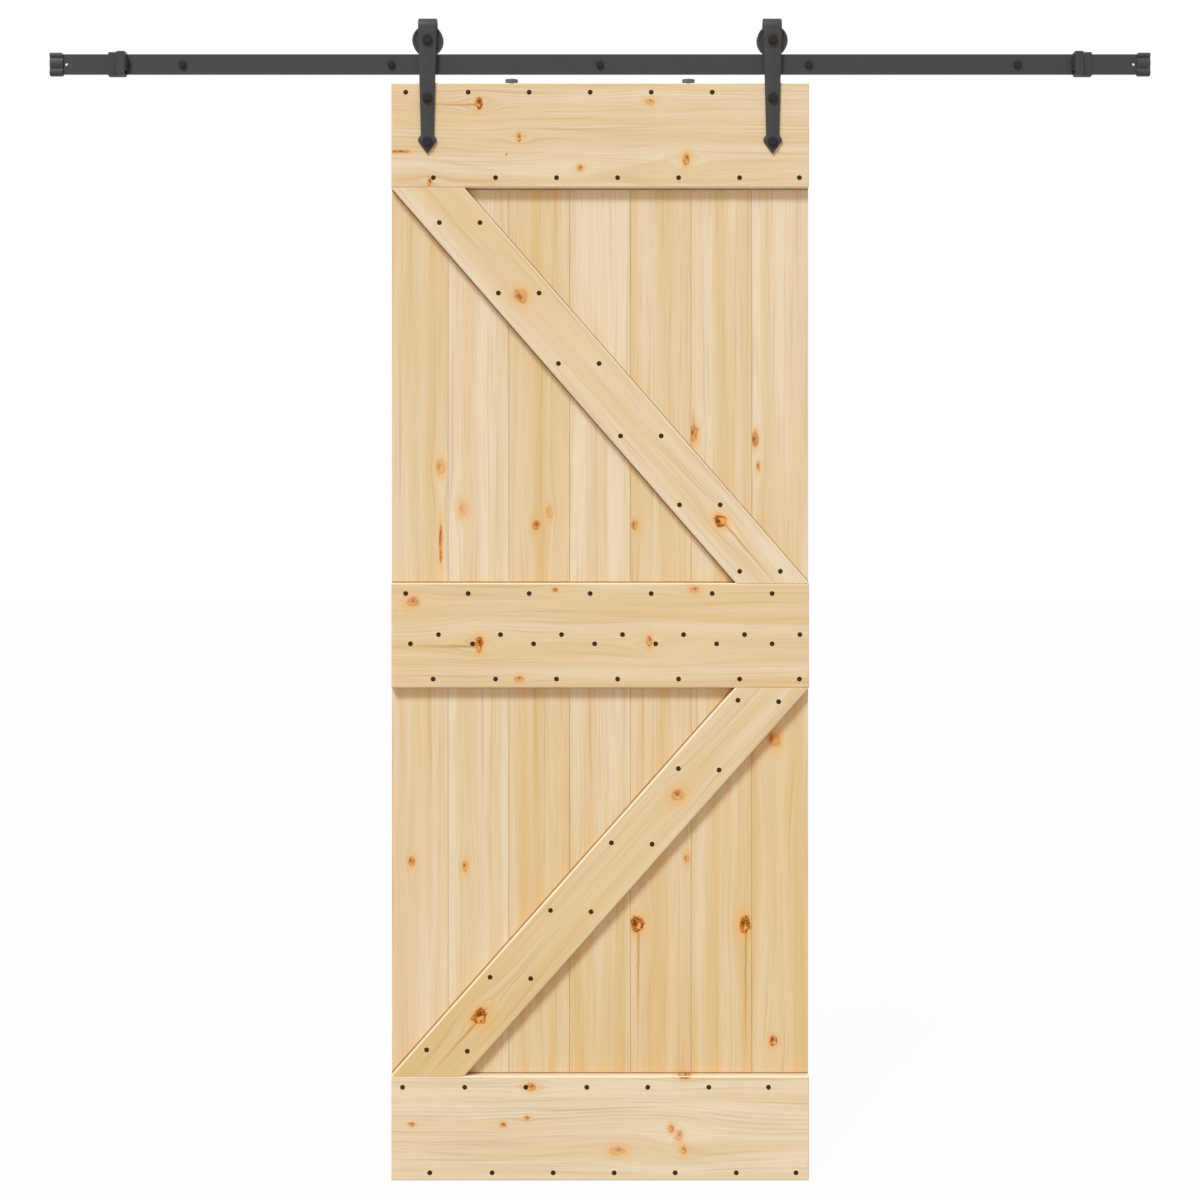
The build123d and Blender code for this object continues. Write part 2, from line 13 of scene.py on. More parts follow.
import bmesh
import bpy
import numpy as np
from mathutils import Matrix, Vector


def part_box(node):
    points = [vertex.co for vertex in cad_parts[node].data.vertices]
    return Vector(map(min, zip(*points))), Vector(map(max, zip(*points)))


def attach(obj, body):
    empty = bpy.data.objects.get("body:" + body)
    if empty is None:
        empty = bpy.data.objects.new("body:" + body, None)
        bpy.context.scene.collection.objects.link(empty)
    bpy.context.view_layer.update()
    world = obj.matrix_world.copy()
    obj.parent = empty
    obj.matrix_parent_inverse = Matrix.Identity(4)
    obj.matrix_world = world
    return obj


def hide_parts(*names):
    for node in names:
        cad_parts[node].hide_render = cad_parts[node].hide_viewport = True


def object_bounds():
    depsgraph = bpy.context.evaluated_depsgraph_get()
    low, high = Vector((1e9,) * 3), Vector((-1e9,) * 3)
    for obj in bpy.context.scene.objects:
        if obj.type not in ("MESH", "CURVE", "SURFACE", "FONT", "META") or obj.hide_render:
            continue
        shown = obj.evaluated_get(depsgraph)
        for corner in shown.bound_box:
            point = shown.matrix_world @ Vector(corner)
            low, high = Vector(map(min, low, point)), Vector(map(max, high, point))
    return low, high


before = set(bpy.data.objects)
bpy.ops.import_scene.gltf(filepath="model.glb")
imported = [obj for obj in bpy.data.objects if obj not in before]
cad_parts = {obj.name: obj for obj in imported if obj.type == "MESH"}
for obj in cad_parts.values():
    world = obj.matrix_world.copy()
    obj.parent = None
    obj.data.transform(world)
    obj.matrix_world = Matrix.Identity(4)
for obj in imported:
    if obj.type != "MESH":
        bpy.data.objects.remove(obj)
cad_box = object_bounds()

log = logging.getLogger("barn_door")

Socket = bpy.types.NodeSocket
Colour = tuple[float, float, float, float]
Feed = Union["Wire", Socket, float, tuple]

MERGE_DISTANCE = 2e-6
FLAT_ANGLE = math.radians(2.0)
EASED_ANGLE = math.radians(40.0)
HEX_CREASE = 18.0
SHANK_SIDES = 24
ROUND_SIDES = 48
BEARING_SIDES = 64
WHEEL_SIDES = 72


def tint(code: str) -> Colour:
    """Colour for a shader from its six-digit screen code.

    Args:
        code: Red, green and blue as hexadecimal pairs.

    Returns:
        Red, green and blue in linear light, and full alpha.
    """
    screen = np.array(list(bytes.fromhex(code))) / 255
    light = np.where(screen <= 0.04045, screen / 12.92, ((screen + 0.055) / 1.055) ** 2.4)
    return (*light.tolist(), 1.0)


class Wire:
    """A number that varies over a surface. Arithmetic on wires writes Math nodes."""

    def __init__(self, graph: "Graph", socket: Socket) -> None:
        """Keep the tree that the number is worked out in, and the socket that gives it."""
        self.graph = graph
        self.socket = socket

    def math(self, operation: str, *others: Feed) -> "Wire":
        """Result of a Math node, by Blender's name of the operation, on this wire and others."""
        return self.graph.number("ShaderNodeMath", dict(enumerate((self, *others))), operation=operation)

    def __add__(self, other: Feed) -> "Wire":
        """Sum."""
        return self.math("ADD", other)

    def __sub__(self, other: Feed) -> "Wire":
        """Difference."""
        return self.math("SUBTRACT", other)

    def __mul__(self, other: Feed) -> "Wire":
        """Product."""
        return self.math("MULTIPLY", other)

    def __truediv__(self, other: Feed) -> "Wire":
        """Quotient, which is zero where the divisor is."""
        return self.math("DIVIDE", other)

    def highest(self, other: Feed) -> "Wire":
        """The larger of two."""
        return self.math("MAXIMUM", other)

    def smooth(self, low: float, high: float) -> "Wire":
        """Rise in an S-curve from 0 at low to 1 at high, or a fall where low is the larger."""
        inputs = {"Value": self, "From Min": low, "From Max": high}
        return self.graph.number("ShaderNodeMapRange", inputs, interpolation_type="SMOOTHSTEP")


class Graph:
    """Writes shader nodes into one tree. Each call adds a node and links what feeds it."""

    def __init__(self, tree: bpy.types.NodeTree) -> None:
        """Keep the tree."""
        self.tree = tree

    def feed(self, socket: Socket, value: Feed) -> None:
        """Link a wire or socket to an input, or set the input's own value.

        Args:
            socket: The input.
            value: What feeds it.
        """
        if isinstance(value, Wire):
            value = value.socket
        if isinstance(value, Socket):
            self.tree.links.new(value, socket)
        else:
            socket.default_value = value

    def fill(self, node: bpy.types.Node, inputs: dict) -> None:
        """Feed a node's inputs, by name or index."""
        for key, value in inputs.items():
            self.feed(node.inputs[key], value)

    def node(self, kind: str, inputs: dict | None = None, **settings: object) -> bpy.types.Node:
        """Add one node.

        Args:
            kind: Blender's type name.
            inputs: What feeds its inputs, by name or index.
            settings: Properties of the node.

        Returns:
            The node.
        """
        made = self.tree.nodes.new(kind)
        for name, value in settings.items():
            setattr(made, name, value)
        self.fill(made, inputs or {})
        return made

    def number(self, kind: str, inputs: dict, **settings: object) -> Wire:
        """Add one node and take its first output as a number."""
        return Wire(self, self.node(kind, inputs, **settings).outputs[0])

    def vector(self, x: Feed, y: Feed, z: Feed) -> Socket:
        """Vector from three numbers."""
        return self.node("ShaderNodeCombineXYZ", {0: x, 1: y, 2: z}).outputs[0]

    def parts(self, vector: Feed) -> tuple[Wire, Wire, Wire]:
        """The three numbers of a vector."""
        made = self.node("ShaderNodeSeparateXYZ", {0: vector})
        return tuple(Wire(self, socket) for socket in made.outputs)

    def noise(self, vector: Feed, scale: float = 1.0, detail: float = 2.0) -> Wire:
        """Soft noise from 0 to 1, with so many cells to the unit and so many finer layers."""
        return self.number("ShaderNodeTexNoise", {"Vector": vector, "Scale": scale, "Detail": detail})

    def mix(self, share: Feed, first: Feed, second: Feed) -> Socket:
        """Blend of two colours, with the share of the second."""
        # For colours, the node's inputs are 0, 6 and 7 and its output is 2
        return self.node("ShaderNodeMix", {0: share, 6: first, 7: second}, data_type="RGBA").outputs[2]

    def lay(self, colour: Feed, layers: list[tuple[Feed, str]]) -> Socket:
        """Colour with others laid over it in turn.

        Args:
            colour: The lowest colour.
            layers: Share and screen code of each one above it.

        Returns:
            The colour.
        """
        for share, code in layers:
            colour = self.mix(share, colour, tint(code))
        return colour

    def bump(self, height: Feed, depth: float) -> Socket:
        """Normal of a surface raised by a height map, where 1 stands for the depth in metres."""
        inputs = {"Height": height, "Distance": depth, "Strength": 1.0}
        return self.node("ShaderNodeBump", inputs).outputs[0]


class Effect:
    """A shader node group with named inputs and outputs, shared by several materials."""

    def __init__(self, name: str, numbers: tuple[str, ...], outputs: tuple[str, ...]) -> None:
        """Make the group's sockets.

        Args:
            name: Name of the group.
            numbers: Names of its inputs beside Vector, the place on the surface.
            outputs: Names of its outputs, which are numbers.
        """
        self.tree = bpy.data.node_groups.new(name, "ShaderNodeTree")
        self.tree.interface.new_socket("Vector", in_out="INPUT", socket_type="NodeSocketVector")
        for way, labels in (("INPUT", numbers), ("OUTPUT", outputs)):
            for label in labels:
                self.tree.interface.new_socket(label, in_out=way, socket_type="NodeSocketFloat")
        self.graph = Graph(self.tree)
        self.given = self.graph.node("NodeGroupInput").outputs
        self.result = self.graph.node("NodeGroupOutput").inputs

    def wire(self, label: str) -> Wire:
        """One of the group's inputs as a number."""
        return Wire(self.graph, self.given[label])

    def give(self, label: str, value: Feed) -> None:
        """Link a number to one of the group's outputs."""
        self.graph.feed(self.result[label], value)

    def place(self, graph: Graph, inputs: dict[str, Feed]) -> dict[str, Wire]:
        """Put the group into a material's tree and take its outputs by name."""
        made = graph.node("ShaderNodeGroup", inputs, node_tree=self.tree)
        return {socket.name: Wire(graph, socket) for socket in made.outputs}


@cache
def pine_figure() -> Effect:
    """Growth rings, tone bands, thin lines and fibres of sawn pine, X across, Y deep and Z along the grain.

    A ring is a tube about the pith: distance = root of (across squared plus depth squared), where the
    depth of the pith wanders slowly along the grain, so rings are cut as lines and long arches. Late
    wood darkens slowly over a ring and ends sharply, by a strength of each ring's own, and in patches.

    Returns:
        The group.
    """
    outputs = ("Late Wood", "Band", "Blush", "Line", "Fibre")
    effect = Effect("pine_figure", ("Shift", "Pith", "Depth", "Ring", "Seed"), outputs)
    graph, seed = effect.graph, effect.wire("Seed")
    across, deep, along = graph.parts(effect.given["Vector"])
    slow = graph.noise(graph.vector(across * 1.2 + seed, deep * 2.0, along * 1.1 + seed * 3.0)) - 0.5
    waver = graph.noise(graph.vector(across * 14.0 + seed, deep * 14.0, along * 2.6 - seed)) - 0.5
    tremble = graph.noise(graph.vector(across * 60.0 - seed, deep * 60.0, along * 9.0 + seed)) - 0.5
    sideways = across + effect.wire("Shift") + waver * 0.009 + tremble * 0.0016
    pithward = sideways - effect.wire("Pith")
    inwards = deep + effect.wire("Depth") + slow * 0.075
    radius = (pithward * pithward + inwards * inwards).math("SQRT")
    phase = radius / effect.wire("Ring")
    share = phase.math("FRACT")
    ring = graph.vector(phase.math("FLOOR") * 3.7 + seed, 0.5, 0.5)
    strength = graph.noise(ring, detail=0.0).smooth(0.35, 0.7)
    patch = graph.noise(graph.vector(across * 18.0 - seed, deep * 9.0, along * 4.5 + seed * 2.0))
    late = share.smooth(0.3, 0.88) * share.smooth(1.0, 0.92)
    effect.give("Late Wood", late * strength * patch.smooth(0.36, 0.62))
    band = graph.noise(graph.vector(sideways * 32.0 - seed, deep * 9.0, along * 0.9 + seed), detail=3.0)
    effect.give("Band", band.smooth(0.33, 0.67))
    blush = graph.noise(graph.vector(sideways * 34.0 + seed * 5.0, deep * 9.0, along * 0.8), detail=3.0)
    effect.give("Blush", blush.smooth(0.48, 0.72))
    line = graph.noise(graph.vector(sideways * 210.0 + seed * 2.0, deep * 40.0, along * 3.4), detail=3.0)
    effect.give("Line", line.smooth(0.54, 0.72))
    fibre = graph.noise(graph.vector(sideways * 620.0, deep * 620.0 + seed, along * 9.0), detail=3.0)
    effect.give("Fibre", fibre)
    return effect


@cache
def pine_knot() -> Effect:
    """One knot, as a branch cut across, and the grain that flows round it.

    Distance = root of (along over stretch, squared, plus across squared), over the knot's radius and
    roughened by noise. The grain is pushed aside as water by a post: by across times the radius
    squared over the distance squared. Veins are a broken rim, and cracks in the narrow places where a
    noise crosses its middle value. A dark heart and a bright spot lie to its two sides, and a streak of
    resin runs from it along the grain.

    Returns:
        The group.
    """
    outputs = ("Shift", "Halo", "Core", "Glow", "Vein", "Heart", "Streak")
    effect = Effect("pine_knot", ("Along", "Across", "Radius", "Stretch", "Streak"), outputs)
    graph, radius = effect.graph, effect.wire("Radius")
    x, _, z = graph.parts(effect.given["Vector"])
    along, across = z - effect.wire("Along"), x - effect.wire("Across")
    rough = graph.noise(graph.vector(x * 60.0, 0.0, z * 42.0)) - 0.5
    fine = graph.noise(graph.vector(x * 130.0, 3.0, z * 105.0), detail=2.5) - 0.5
    flat = along / effect.wire("Stretch")
    span = (flat * flat + across * across).math("SQRT") / radius
    reach = span + rough * 1.6 + fine * 0.5
    flow = along / 2.6
    spread = flow * flow + across * across + radius * radius * 0.6
    effect.give("Shift", across * radius * radius * -1.7 / spread)
    effect.give("Halo", (span + rough * 0.8).smooth(2.6, 0.4) * (rough + 0.85))
    effect.give("Core", reach.smooth(1.15, 0.75))
    right, low = across / radius - 0.32, flat / radius + 0.28
    bright = (right * right + low * low * 0.4).math("SQRT") + fine * 0.9
    effect.give("Glow", bright.smooth(0.5, 0.2) * reach.smooth(0.95, 0.7))
    crack = (graph.noise(graph.vector(x * 62.0, 7.0, z * 50.0), detail=1.5) - 0.5).math("ABSOLUTE")
    rim = reach.smooth(0.55, 0.72) * reach.smooth(1.02, 0.85) * fine.smooth(-0.06, 0.06)
    effect.give("Vein", rim.highest(crack.smooth(0.035, 0.01) * reach.smooth(0.85, 0.6)))
    left, high = across / radius + 0.25, flat / radius - 0.15
    heart = (left * left + high * high).math("SQRT") + rough * 0.8 + fine * 1.4
    effect.give("Heart", heart.smooth(0.46, 0.16))
    run = along / effect.wire("Streak")
    drift = across + rough * 0.004 + run * 0.002 - radius * 0.25
    width = drift.math("ABSOLUTE") / radius
    fade = run.smooth(0.0, 0.03) * run.smooth(1.0, 0.2)
    effect.give("Streak", width.smooth(0.32, 0.04) * fade)
    return effect


@cache
def fine_skin() -> Effect:
    """Fine pitting and cloudy change of tone of a coated, moulded or blackened surface.

    Returns:
        The group.
    """
    effect = Effect("fine_skin", ("Grain",), ("Pitting", "Cloud"))
    graph = effect.graph
    x, y, z = graph.parts(effect.given["Vector"])
    grain = effect.wire("Grain")
    fine = graph.vector(x / grain, y / grain, z / grain)
    effect.give("Pitting", graph.noise(fine, detail=3.0))
    effect.give("Cloud", graph.noise(effect.given["Vector"], scale=38.0, detail=4.0).smooth(0.3, 0.7))
    return effect


@cache
def painted_crease_shade() -> Effect:
    """Thin dark line on the boards along both long edges of a rail or brace that lies on them.

    The line is painted shade, standing in for the shade in the corner where the timber meets the boards.
    It shows where the distance across that timber is within a hair of half its width.

    Returns:
        The group.
    """
    effect = Effect("painted_crease_shade", ("Half",), ("Crease Shade",))
    across = effect.graph.parts(effect.given["Vector"])[0]
    gap = (across.math("ABSOLUTE") - effect.wire("Half")).math("ABSOLUTE")
    # Painted shade: the dark line along both long edges of the timber that lies on the boards
    effect.give("Crease Shade", gap.smooth(0.0034, 0.0014))
    return effect


def new_material(name: str) -> tuple[bpy.types.Material, Graph, bpy.types.Node]:
    """An empty material.

    Args:
        name: Name of the material.

    Returns:
        The material, its tree and its shader.
    """
    material = bpy.data.materials.new(name)
    material.use_nodes = True
    graph = Graph(material.node_tree)
    return material, graph, material.node_tree.nodes["Principled BSDF"]


@dataclass(frozen=True)
class Knot:
    """A knot in a timber, in millimetres.

    Attributes:
        x: Place along the track.
        z: Height.
        radius: Half its width across the grain.
        stretch: Length over width.
        dark: How dark its heart is, from 0 to 1.
        streak: Length of the resin streak along the grain, with its direction as sign.
    """

    x: float
    z: float
    radius: float
    stretch: float = 1.3
    dark: float = 0.4
    streak: float = 0.0


class Grain(Enum):
    """Turn of the grain from upright, in degrees about Y, for each kind of timber."""

    BOARD = 0.0
    RAIL = 90.0
    UPPER_BRACE = -41.085
    LOWER_BRACE = 41.571


@dataclass(frozen=True)
class Timber:
    """One piece of pine in the leaf.

    Attributes:
        node: Its CAD node.
        grain: Which way its grain runs.
        warmth: Share of honey tone, from 0 to 1, in the upper and the lower half of the leaf.
        pith: Place of the pith across and behind the piece, in millimetres.
        ring: Width of a growth ring in millimetres.
        knots: Its knots.
        half_width: Half its width, in metres, for a timber that lies on the boards.
    """

    node: str
    grain: Grain
    warmth: tuple[float, float]
    pith: tuple[float, float]
    ring: float
    knots: tuple[Knot, ...] = ()
    half_width: float = 0.1

    @property
    def rings(self) -> float:
        """Share of late wood that shows: more on the rails, which are sawn flat."""
        return 0.36 if self.grain is Grain.RAIL else 0.13

    def centre(self) -> np.ndarray:
        """Middle of the piece."""
        low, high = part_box(self.node)
        return (np.array(low) + np.array(high)) / 2

    def local(self, graph: Graph, place: Socket) -> Socket:
        """Place measured from the middle of the piece, X across and Z along its grain.

        Args:
            graph: Tree of a material.
            place: Object coordinates there.

        Returns:
            The place.
        """
        turn = (0.0, math.radians(self.grain.value), 0.0)
        inputs = {"Vector": place, "Location": tuple(self.centre()), "Rotation": turn}
        return graph.node("ShaderNodeMapping", inputs, vector_type="TEXTURE").outputs[0]

    def knot_masks(self, graph: Graph, local: Socket, knot: Knot) -> dict[str, Wire]:
        """The group of one knot, placed in the timber's material.

        Args:
            graph: The material's tree.
            local: Place measured from the middle of the piece.
            knot: The knot.

        Returns:
            The group's outputs by name.
        """
        x, _, z = np.array([knot.x, 0.0, knot.z]) / 1000 - self.centre()
        turn = math.radians(self.grain.value)
        along, across = x * math.sin(turn) + z * math.cos(turn), x * math.cos(turn) - z * math.sin(turn)
        inputs = {"Vector": local, "Along": along, "Across": across, "Radius": knot.radius / 1000}
        inputs |= {"Stretch": knot.stretch, "Streak": knot.streak / 1000}
        return pine_knot().place(graph, inputs)


@dataclass(frozen=True)
class PineFinish:
    """Planed pine without varnish. Colours are screen codes, and shares are the most that each shows.

    Attributes:
        banding: Change of honey tone across the grain.
        top: Height at which a timber has the first of its two shares of honey tone, in metres.
        span: How much lower it has the second.
        roughness: Lowest roughness, and how much rougher it gets.
        shine: Specular level.
        relief: Depth of the raised grain in metres.
    """

    pale: str = "EDDAB8"
    honey: str = "E2C087"
    late: str = "C79A60"
    blush: str = "E9C49D"
    line: str = "C39862"
    halo: str = "EDB060"
    knot: str = "CE7826"
    glow: str = "F9B25A"
    vein: str = "4A1E02"
    heart: str = "B8480F"
    streak: str = "C8903C"
    # Painted highlight: cream colour of the eased edges of rails and braces
    arris_highlight: str = "F7E6C8"
    # Painted shade: colour of the dark line on the boards along the edges of rails and braces
    crease: str = "6A421C"
    blush_share: float = 0.5
    line_share: float = 0.32
    fibre_share: float = 0.55
    streak_share: float = 0.75
    # Most that the painted highlight on eased edges shows
    arris_highlight_share: float = 0.7
    # Most that the painted shade line shows
    crease_shade_share: float = 0.7
    banding: float = 0.64
    top: float = -0.6
    span: float = 0.97
    roughness: tuple[float, float] = (0.5, 0.25)
    shine: float = 0.15
    relief: float = 0.00022

    def material(self, timber: Timber, seed: int, on_top: list[Timber]) -> bpy.types.Material:
        """Material of one timber, with its own figure and knots.

        Args:
            timber: The timber.
            seed: Number that no other timber has.
            on_top: Timbers that lie on it, along whose edges it gets painted shade lines.

        Returns:
            The material.
        """
        material, graph, shader = new_material(f"pine_{timber.node}")
        place = graph.node("ShaderNodeTexCoord").outputs["Object"]
        local = timber.local(graph, place)
        knots = [timber.knot_masks(graph, local, knot) for knot in timber.knots]
        shift: Feed = 0.0
        for found in knots:
            shift = found["Shift"] + shift
        inputs = {"Vector": local, "Shift": shift, "Ring": timber.ring / 1000, "Seed": seed * 1.37}
        inputs |= {"Pith": timber.pith[0] / 1000, "Depth": timber.pith[1] / 1000}
        figure = pine_figure().place(graph, inputs)
        fibre = figure["Fibre"]
        upper, lower = timber.warmth
        change = (graph.parts(place)[2] - self.top) * ((upper - lower) / self.span)
        honey = (figure["Band"] - 0.5) * self.banding + change + upper
        layers = [
            (figure["Blush"] * self.blush_share, self.blush),
            (figure["Late Wood"] * timber.rings, self.late),
            (figure["Line"] * self.line_share, self.line),
            ((fibre - 0.5) * self.fibre_share + 0.1, self.late),
        ]
        for found, knot in zip(knots, timber.knots):
            layers += self._knot_layers(found, knot.dark)
        inwards = graph.parts(graph.node("ShaderNodeNewGeometry").outputs["True Normal"])[1]
        # Painted shade: a thin dark line on the front of a board along each edge of a rail or brace that
        # lies on it
        for other in on_top:
            inputs = {"Vector": other.local(graph, place), "Half": other.half_width}
            crease = painted_crease_shade().place(graph, inputs)["Crease Shade"] * inwards.smooth(-0.8, -0.95)
            layers.append((crease * self.crease_shade_share, self.crease))
        # Painted highlight: the eased edges of rails and braces, which face neither front nor side, are
        # made paler so they read as catching the light
        if timber.grain is not Grain.BOARD:
            facing = inwards.math("ABSOLUTE")
            edge_highlight = facing.smooth(0.45, 0.65) * facing.smooth(0.95, 0.75)
            layers.append((edge_highlight * self.arris_highlight_share, self.arris_highlight))
        smoothest, rougher = self.roughness
        raised = fibre * 0.7 + figure["Late Wood"] * 0.3
        graph.fill(shader, {
            "Base Color": graph.lay(graph.mix(honey, tint(self.pale), tint(self.honey)), layers),
            "Roughness": fibre * rougher + smoothest,
            "Specular IOR Level": self.shine,
            "Normal": graph.bump(raised, self.relief),
        })
        return material

    def _knot_layers(self, found: dict[str, Wire], dark: float) -> list[tuple[Wire, str]]:
        """Shares and colours of one knot, from its halo up to its heart.

        Args:
            found: The knot's masks.
            dark: How dark its heart is.

        Returns:
            Share and screen code of each layer.
        """
        masks = (
            ("Halo", 0.65 + 0.25 * dark, self.halo),
            ("Streak", self.streak_share, self.streak),
            ("Core", 0.18 + 0.8 * dark, self.knot),
            ("Glow", 0.25 + 0.6 * dark, self.glow),
            ("Vein", 0.08 + 0.72 * dark, self.vein),
            ("Heart", min(0.25 + 2.5 * dark, 0.8 - 0.5 * dark), self.heart),
            ("Heart", 0.8 * dark, self.vein),
        )
        return [(found[mask] * share, code) for mask, share, code in masks]


@dataclass(frozen=True)
class HardFinish:
    """A coated, moulded or blackened surface.

    Attributes:
        name: Name of the material.
        slot: Material slot of the record.
        colour: Screen code of the main colour.
        cloud: Screen code of the colour that clouds it.
        roughness: Lowest and highest roughness.
        grain: Size of the pitting in metres.
        depth: Depth of the pitting in metres.
        metallic: Share of bare metal.
        worn_above: Height over which wheels have rubbed it bright, or None.
        worn: Screen code of the rubbed metal.
        shine: Specular level.
        sheen: Screen code of the colour of its reflections.
    """

    name: str
    slot: str
    colour: str
    cloud: str
    roughness: tuple[float, float]
    grain: float
    depth: float
    metallic: float = 0.0
    worn_above: float | None = None
    worn: str = "8B8A86"
    shine: float = 0.35
    sheen: str = "FFFAF3"

    def material(self) -> bpy.types.Material:
        """The finish as a material.

        Returns:
            The material.
        """
        material, graph, shader = new_material(self.name)
        place = graph.node("ShaderNodeTexCoord").outputs["Object"]
        skin = fine_skin().place(graph, {"Vector": place, "Grain": self.grain})
        pitting = skin["Pitting"]
        layers = [(skin["Cloud"] * 0.6, self.cloud), ((pitting - 0.5) * 0.5 + 0.25, self.cloud)]
        low, high = self.roughness
        roughness = pitting * (high - low) + low
        if self.worn_above is not None:
            x, _, z = graph.parts(place)
            scratch = graph.noise(graph.vector(x * 9.0, 0.0, z * 900.0), detail=4.0).smooth(0.35, 0.7)
            worn = z.smooth(self.worn_above, self.worn_above + 0.0006) * scratch
            layers.append((worn * 0.7, self.worn))
            roughness = roughness - worn * 0.2
        graph.fill(shader, {
            "Base Color": graph.lay(tint(self.colour), layers),
            "Roughness": roughness,
            "Metallic": self.metallic,
            "Specular IOR Level": self.shine,
            "Specular Tint": tint(self.sheen),
            "Normal": graph.bump(pitting, self.depth),
        })
        return material


class Hardware(Enum):
    """The finishes of the metal, plastic and rubber pieces."""

    COAT = HardFinish("black_powder_coat", "black_steel", "383533", "3F3C39", (0.45, 0.65), 0.0009, 0.00006)
    TRACK = replace(COAT, name="track_powder_coat", worn_above=0.0188)
    FASTENER = HardFinish(
        "black_oxide", "black_fasteners", "252321", "2E2B29", (0.4, 0.6), 0.0012, 0.00003, shine=0.16
    )
    SCREW = HardFinish(
        "dark_phosphate", "dark_screws", "3A2B14", "443319", (0.6, 0.8), 0.0006, 0.00003, shine=0.08
    )
    NYLON = HardFinish("wheel_nylon", "wheel_nylon", "363432", "3C3A38", (0.4, 0.55), 0.0015, 0.00003)
    CAP = HardFinish("cap_plastic", "grey_plastic", "3A3938", "42413F", (0.45, 0.65), 0.0006, 0.00004)
    DISC = replace(CAP, name="disc_plastic", colour="605E5B", cloud="6A6864")
    RUBBER = HardFinish(
        "bumper_rubber", "bumper_rubber", "2A2A29", "343433", (0.7, 0.9), 0.0005, 0.00006, shine=0.2
    )
    STEEL = HardFinish(
        "bearing_steel", "bearing_steel", "A9A9AA", "8E8E90", (0.22, 0.38), 0.0008, 0.00001, metallic=1.0
    )


@cache
def finish_of(hardware: Hardware) -> bpy.types.Material:
    """Material of a hardware finish, made once."""
    return hardware.value.material()


def dress(node: str, material: bpy.types.Material) -> None:
    """Give a CAD node a material in place of its plain ones.

    Args:
        node: The node.
        material: Its material.
    """
    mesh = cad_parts[node].data
    mesh.materials.clear()
    mesh.materials.append(material)
    log.info("%s: %s", node, material.name)


@dataclass
class Surface:
    """A shape as arrays: points in rows of three, and faces in rows of four corners."""

    points: np.ndarray
    faces: np.ndarray

    @classmethod
    def from_grid(cls, grid: np.ndarray) -> "Surface":
        """Surface through a grid of points, each face between four neighbours.

        Args:
            grid: Points by row and column.

        Returns:
            The surface.
        """
        rows, columns = grid.shape[:2]
        index = np.arange(rows * columns).reshape(rows, columns)
        corners = (index[:-1, :-1], index[:-1, 1:], index[1:, 1:], index[1:, :-1])
        return cls(grid.reshape(-1, 3), np.stack(corners, axis=-1).reshape(-1, 4))

    @classmethod
    def joined(cls, *shapes: "Surface") -> "Surface":
        """Several surfaces as one.

        Args:
            shapes: The surfaces, which keep their own points and faces.

        Returns:
            The surface.
        """
        starts = np.cumsum([0] + [len(shape.points) for shape in shapes[:-1]])
        faces = [shape.faces + start for shape, start in zip(shapes, starts)]
        return cls(np.concatenate([shape.points for shape in shapes]), np.concatenate(faces))

    @classmethod
    def spun(cls, radius: np.ndarray, y: np.ndarray, angle: np.ndarray) -> "Surface":
        """Surface about Y: x = r sin a, z = r cos a. Radius and height go by row, or also by angle."""
        radius, y = radius + 0 * angle, y + 0 * angle
        return cls.from_grid(np.stack([radius * np.sin(angle), y, radius * np.cos(angle)], axis=-1))

    def at(self, places: np.ndarray) -> "Surface":
        """One copy at each place.

        Args:
            places: Rows of X, Y and Z.

        Returns:
            All the copies as one surface.
        """
        places = np.atleast_2d(places)
        points = (places[:, None] + self.points[None]).reshape(-1, 3)
        starts = np.arange(len(places))[:, None, None] * len(self.points)
        return Surface(points, (starts + self.faces[None]).reshape(-1, 4))

    def upright(self) -> "Surface":
        """The shape turned so that its Y axis points up."""
        x, y, z = self.points.T
        return Surface(np.stack([x, -z, y], axis=1), self.faces)


def linked(name: str, data: bpy.types.ID) -> bpy.types.Object:
    """New object in the scene.

    Args:
        name: Name of the object.
        data: Its mesh, light or camera.

    Returns:
        The object.
    """
    made = bpy.data.objects.new(name, data)
    bpy.context.scene.collection.objects.link(made)
    return made


